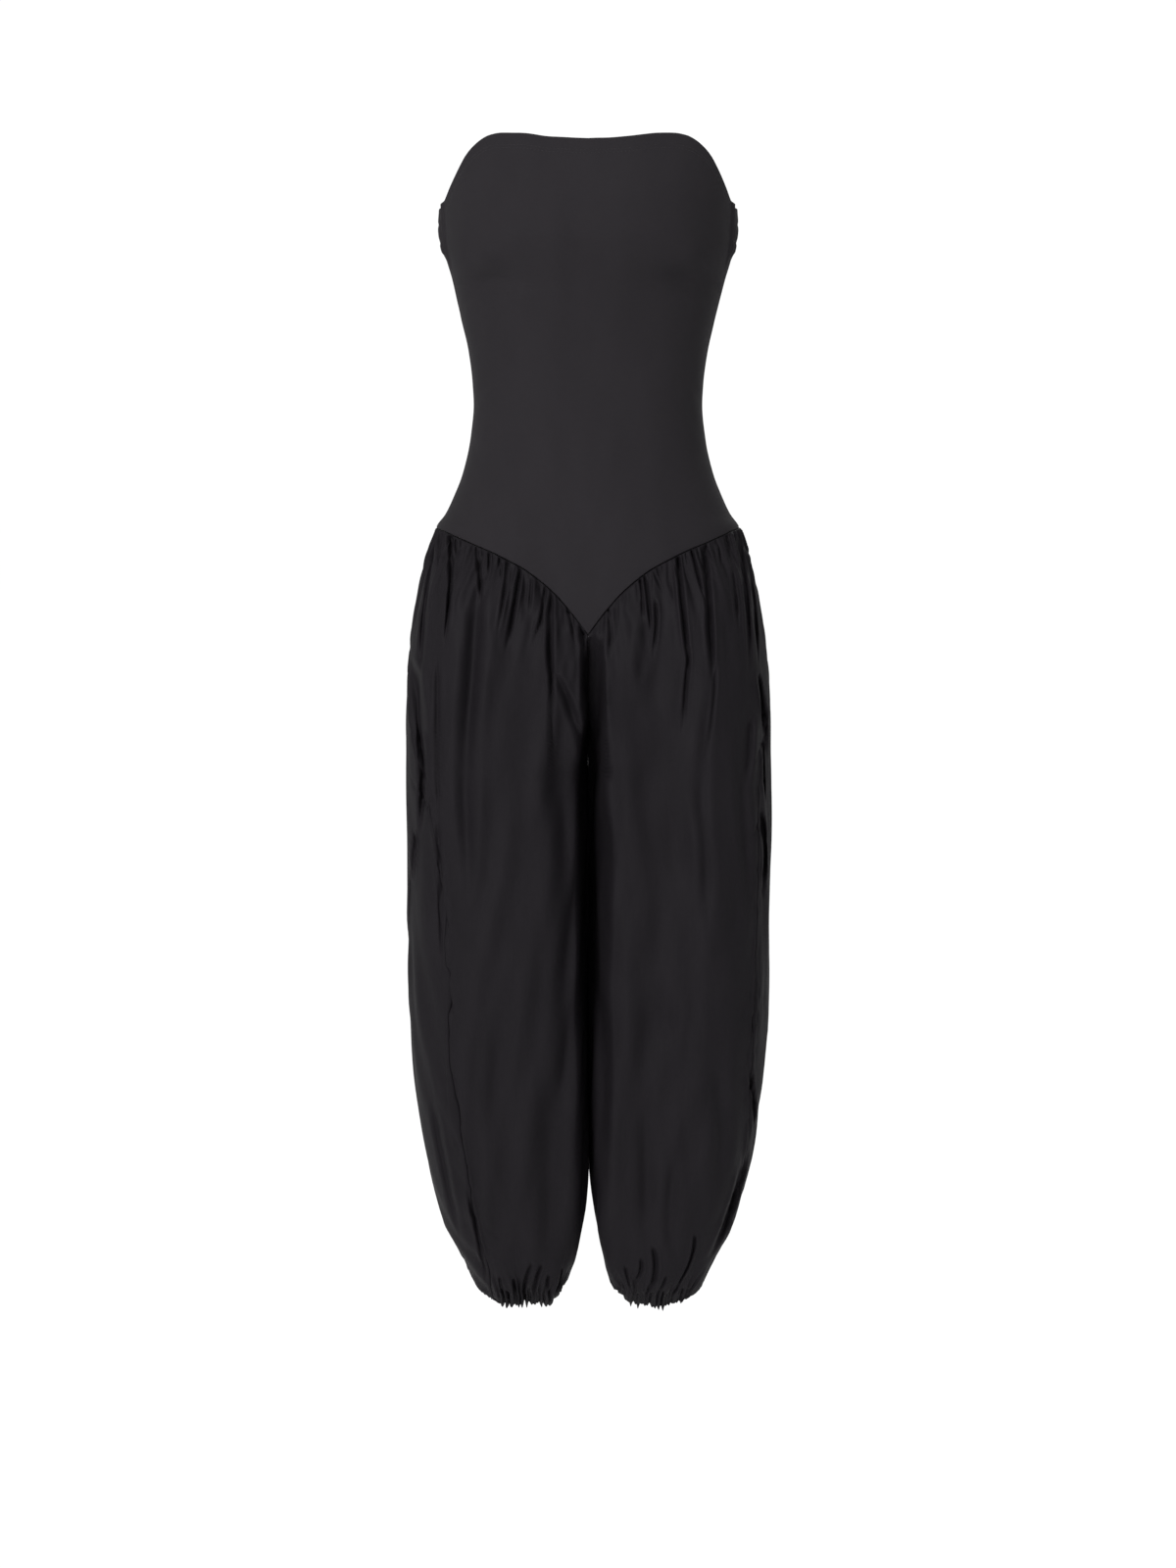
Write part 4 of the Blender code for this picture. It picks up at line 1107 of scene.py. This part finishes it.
def trough(aside):
    """A narrow trough in cloth, 1 deep, with a low ridge on either side, in half widths."""
    aside = np.abs(aside)
    ridges = np.exp(-((aside - TROUGH_RIDGE_PLACE) / TROUGH_RIDGE_WIDTH) ** 2)
    return TROUGH_RIDGE * ridges - np.exp(-TROUGH_NARROWNESS * aside ** 2)


def crease_lift(place, z, creases):
    """Depth of long creases on a curve through three places, with pointed ends."""
    lift = np.zeros_like(place)
    for x1, z1, x2, z2, x3, z3, depth, width in creases:
        share = (z1 - z) / (z1 - z3)
        pass_at = (z1 - z2) / (z1 - z3)
        bow = (x2 - x1 - (x3 - x1) * pass_at) / (pass_at * (1 - pass_at))
        within = np.clip(share, -CREASE_BENDS_ON, 1 + CREASE_BENDS_ON)
        middle = x1 + (x3 - x1) * within + bow * within * (1 - within)
        ends = (smoothstep(share * CREASE_START_STEEPNESS + CREASE_START)
                * smoothstep((CREASE_END - share) * CREASE_END_STEEPNESS))
        half_width = width / 2 * (CREASE_TIP + (1 - CREASE_TIP) * ends)
        lift += depth * ends * trough((place - middle) / half_width)
    return lift


def pucker_lift(from_seam, z, puckers):
    """Slanting puckers that start at the side seam's stitches."""
    lift = np.zeros_like(z)
    for pucker in puckers:
        across = (z - pucker.level + pucker.slant * from_seam) / PUCKER_WIDTH
        lift -= pucker.depth * np.exp(-across * across - from_seam / pucker.reach)
    return lift


def one_gather(chance, kind, hang, away, place, lean):
    """A small crease that starts at a row of stitches and soon fades away from it."""
    depth = chance.uniform(*kind.depth)
    reach = chance.uniform(kind.least, 1.0) ** kind.power * kind.reach
    slope = lean + chance.uniform(-kind.lean, kind.lean)
    half_width = chance.uniform(*kind.width) / 2 * (1 + away / kind.widening)
    aside = (hang - place - slope * away) / half_width
    return depth * np.exp(-(away / reach) ** 2) * trough(aside)


def hip_lift(hang, drop, seam_hang, seed):
    """The gathers that start at the stitches of the hip seam."""
    chance = np.random.default_rng(seed)
    lift = np.zeros_like(hang)
    for at in np.linspace(*HIP_GATHER_ENDS, HIP_GATHERS.count):
        at += chance.uniform(-HIP_GATHERS.stray, HIP_GATHERS.stray) / HIP_GATHERS.count
        lift += one_gather(chance, HIP_GATHERS, hang, drop, np.interp(at, *seam_hang), 0.0)
    return lift


def calf_lift(hang, z, seed):
    """The bunched casing at the calf and the gathers that rise from it."""
    chance = np.random.default_rng(seed)
    lift = np.zeros_like(z)
    above = np.maximum(z - CASING_STITCH_LEVEL, 0.0)
    for place in np.linspace(hang[-1].min(), hang[-1].max(), CALF_GATHERS.count):
        place += chance.uniform(-CALF_GATHERS.stray, CALF_GATHERS.stray)
        lift += one_gather(chance, CALF_GATHERS, hang, above, place, place / CALF_SPLAY)
    stitched = np.exp(-((z - CASING_STITCH_LEVEL) / CASING_STITCH_WIDTH) ** 2)
    return lift - CASING_STITCH_DEPTH * stitched


def valley_lift(x, z):
    """How far back the cloth sinks between the two thighs, above where the legs part."""
    depth, middle, half_width = (read_smoothly(CENTRE_VALLEY, column, z)
                                 for column in ("depth", "middle", "half_width"))
    return depth * np.exp(-np.abs((x - middle) / half_width) ** VALLEY_STEEPNESS)


def join_to_body(grid, at, seam_level, levels, is_front):
    """Moves the first rows onto the body at the hip seam, and the next ones part of the way."""
    body = BodySurface(is_front)
    to_side = 1 - SEAM_GAP / 2 / body.span(seam_level)
    on_body = body.point(at * to_side, seam_level) - (0.0, 0.0, SEAM_GAP)
    first = points_at(at, at[0], grid[0])
    held = 1 - smoothstep((SIDE_LEVEL - levels) / SEAM_FADE)
    return grid + held[:, None, None] * (on_body - first)


Spots = namedtuple("Spots", "x y z hang drop from_side from_inner")


def small_lift(spots, seam_hang, hand, seed):
    """Gathers, swells, puckers and welts of a leg panel, each of a few millimetres at most."""
    x, _, z, hang, drop, from_side, from_inner = spots
    free = past_edge(from_side, SIDE_SEAM_HOLD) * past_edge(from_inner, INNER_SEAM_HOLD)
    near_seam = np.exp(-(drop / SEAM_SWELL_REACH) ** 2)
    in_sight = 1 - OUTER_SIDE_CALM * past_edge(np.abs(x), OUTER_SIDE)
    lift = free * (hip_lift(hang, drop, seam_hang, seed)
                   + near_seam * unevenness(hang, z, seed + 5, SEAM_SWELL_SIZE, SEAM_SWELL)
                   + in_sight * past_edge(drop, SWELL_HOLD)
                   * unevenness(hang, z, seed + 1, LEG_SWELL_SIZE, LEG_SWELL))
    lift += PUCKER_STRENGTH * pucker_lift(from_side, z, PUCKERS[hand])
    wave = 1 - WELT_WAVE_SHARE + WELT_WAVE_SHARE * np.sin(z / WELT_WAVE * math.tau)
    lift += WELT_LIFT * wave * np.exp(-((from_side - WELT_PLACE) / WELT_WIDTH) ** 2)
    lift += calf_lift(hang, z, seed + 3) * past_edge(
        np.minimum(from_inner, from_side), CALF_SEAM_HOLD)
    return lift * past_edge(drop, HIP_SEAM_HOLD)


def long_creases(spots, hand):
    """How far a leg panel's long creases move its cloth outwards and towards the back."""
    x, y, z, _, drop, _, from_inner = spots
    forward = past_edge(-y, (-CREASE_BLEND, CREASE_BLEND))
    creased = past_edge(drop, HIP_SEAM_HOLD) * past_edge(from_inner, INNER_SEAM_HOLD)
    front = creased * forward * crease_lift(x, z, CREASES["front_" + hand])
    back = creased * (1 - forward) * crease_lift(x, z, CREASES["back_" + hand])
    outer = creased * past_edge(np.abs(x), OUTER_SIDE) * crease_lift(y, z, SIDE_CREASES[hand])
    return outer, back - front


def leg_grid(name, seed):
    """Points of a leg panel, rows from the hip seam down to the hem, as the cloth hangs."""
    _, facing, hand = name.split("_")
    is_front = facing == "front"
    side = -1 if hand == "left" else 1
    levels = leg_rows()
    grid, along, span, hang = leg_base(is_front, hand, levels)
    at = (along - SEAM_GAP / 2) / (span - SEAM_GAP)
    seam_level = read_smoothly(FRONT_HIP_SEAM if is_front else BACK_HIP_SEAM, "level", at)
    grid = join_to_body(grid, at, seam_level, levels, is_front)
    out = outward(grid, not is_front)
    x = side * grid[..., 0]
    z = grid[..., 2]
    spots = Spots(x, grid[..., 1], z, hang, seam_level - SEAM_GAP - z,
                  span - SEAM_GAP / 2 - along, along - SEAM_GAP / 2)
    parted = smoothstep((INSEAM_SHOWS_LEVEL - z) / INSEAM_FADE)
    lift = small_lift(spots, (at[0], hang[0]), hand, seed) - (
        turned_in(spots.from_side) + parted * turned_in(spots.from_inner) + turned_in(spots.drop))
    outwards, backwards = long_creases(spots, hand)
    grid = grid + out * lift[..., None]
    grid[..., 0] += outwards
    grid[..., 1] += backwards
    if is_front:
        grid[..., 1] += valley_lift(x, z) * past_edge(spots.drop, VALLEY_HOLD)

    skewed = smoothstep((SKEW_FROM - grid[..., 2]) / (SKEW_FROM - SKEW_FULL))
    inner = read_smoothly(LEG, "inner", grid[..., 2])
    grid[..., 0] = side * np.maximum(grid[..., 0], inner) + LEG_SKEW * skewed * grid[..., 1]
    out[..., 0] *= side
    ruffle = unevenness(hang, np.zeros_like(z), seed + 4, HEM_RUFFLE_SIZE, HEM_RUFFLE)
    sag = HEM_SAG * (1 - ((np.abs(x) - LEG[-1].crown) / HEM_SAG_REACH) ** 2)
    grid[..., 2] += smoothstep((CASING_STITCH_LEVEL - z) / RUFFLE_FADE) * (ruffle - sag)
    return grid, out, hang


def make_leg_panel(name, seed):
    """A leg panel with its seam allowances and its turned hem, its threads straight down it."""
    _, facing, hand = name.split("_")
    grid, out, hang = leg_grid(name, seed)
    closed = close_panel(grid[::-1], out[::-1], (0.0, 0.0, -1.0))[::-1]
    across = np.pad(hang, ((1, len(closed) - len(hang) - 1), (1, 1)), mode="edge")
    flipped = (facing == "front") == (hand == "left")
    piece = make_sheet(f"{name}_cloth", closed, plan_of(closed, across), flipped, woven)
    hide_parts(name)
    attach(piece, "root")
    return piece, (grid, out)


woven = woven_material()
legs = {name: make_leg_panel(name, seed) for name, seed in (
    ("leg_front_left", 20), ("leg_front_right", 30), ("leg_back_left", 40), ("leg_back_right", 50))}

# ---------------------------------------------------------------------------- stitching
# Black thread holds every turned edge: twin rows along the top of the front, three rows through
# the back's elastic casing and one above each calf hem. Each stitch is pulled into the cloth.
STITCH_LENGTH = 2.7
STITCH_PITCH = 3.5
STITCH_WIDTH = 0.55
STITCH_RISE = 0.28                 # of its thread above the cloth
TOP_EDGE_ROWS = (10.5, 13.5)       # down from the top edge of the front
STITCH_ENDS_AWAY = 4.0             # from a side seam
THREAD_DARK = (0.006, 0.0055, 0.0065)
THREAD_LIGHT = (0.016, 0.0145, 0.0165)
THREAD_TWIST = 900.0               # the scale of its noise


def thread_material():
    """Black polyester thread with a slight shine and a fine twist."""
    material, wire, shader = start_material("black_thread", {"Specular IOR Level": 0.25})
    place = wire.add("ShaderNodeTexCoord", {}, {}, "Object")
    twist = wire.add("ShaderNodeTexNoise", {}, {"Vector": place, "Scale": THREAD_TWIST})
    feed(shader, {"Base Color": shade(wire, twist, THREAD_DARK, THREAD_LIGHT),
                  "Roughness": 0.35 + twist * 0.2})
    return material


def sew_row(line, out):
    """Corners and faces of a row of stitches along a line of points, in mm."""
    distance = running_total(np.linalg.norm(np.diff(line, axis=0), axis=-1))
    count = int((distance[-1] - 2 * STITCH_ENDS_AWAY) / STITCH_PITCH)
    middles = STITCH_ENDS_AWAY + STITCH_PITCH * (np.arange(count) + 0.5)
    start = points_at(middles - STITCH_LENGTH / 2, distance, line)
    end = points_at(middles + STITCH_LENGTH / 2, distance, line)
    up = points_at(middles, distance, out)
    aside = np.cross(end - start, up)
    aside *= STITCH_WIDTH / 2 / np.linalg.norm(aside, axis=-1, keepdims=True)
    middle = points_at(middles, distance, line)
    corners = np.stack((start, middle + aside, end, middle - aside,
                        middle + up * STITCH_RISE, middle - up * STITCH_RISE), axis=1)
    pattern = np.array([(0, 1, 4), (1, 2, 4), (2, 3, 4), (3, 0, 4),
                        (1, 0, 5), (2, 1, 5), (3, 2, 5), (0, 3, 5)])
    faces = pattern[None] + 6 * np.arange(count)[:, None, None]
    return corners.reshape(-1, 3), faces.reshape(-1, 3)


def rows_down(grid, out, drop, distances):
    """Lines across a panel so far down it, each with the cloth's directions along it."""
    return [(row_at(grid, drop, at), row_at(out, drop, at)) for at in distances]


def make_stitches(name, rows):
    """One piece of all the stitches of some rows, each a line of points and its directions."""
    corners = []
    faces = []
    for line, out in rows:
        row_corners, row_faces = sew_row(line, out)
        faces.extend((row_faces + len(corners)).tolist())
        corners.extend((row_corners * MM).tolist())
    mesh = bpy.data.meshes.new(name)
    mesh.from_pydata(corners, [], faces)
    mesh.materials.append(thread)
    piece = start_piece(name, mesh)
    bpy.ops.object.mode_set(mode="EDIT")
    bpy.ops.mesh.select_all(action="SELECT")
    bpy.ops.mesh.normals_make_consistent(inside=False)
    bpy.ops.object.mode_set(mode="OBJECT")
    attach(piece, "root")


thread = thread_material()
make_stitches("top_edge_stitches", rows_down(
    front_grid, front_out, drop_from_edge(front_grid), TOP_EDGE_ROWS))
make_stitches("back_casing_stitches", rows_down(
    back_grid, back_out, drop_from_edge(back_grid), CASING_ROWS_OF_ELASTIC))
for hand in ("left", "right"):
    lines = []
    for facing in ("front", "back"):
        grid, out = legs[f"leg_{facing}_{hand}"][1]
        lines += rows_down(grid, out, -grid[..., 2], (-CASING_STITCH_LEVEL,))
    make_stitches(f"{hand}_calf_stitches", lines)

# --------------------------------------------------------------------- declared sheets
# What each sheet of cloth was cut to: its width and length in metres, and its area.
CUTS = {cut.name: cut for cut in table("name flat area", (
    ("bodice_front", (0.40, 0.47), 0.14),
    ("bodice_back", (0.42, 0.33), 0.125),
    ("leg_front_left", (0.34, 0.80), 0.225),
    ("leg_front_right", (0.34, 0.80), 0.235),
    ("leg_back_left", (0.46, 0.80), 0.310),
    ("leg_back_right", (0.44, 0.80), 0.295),
))}
for name, (piece, _) in legs.items():
    bodice = bodice_front if "front" in name else bodice_back
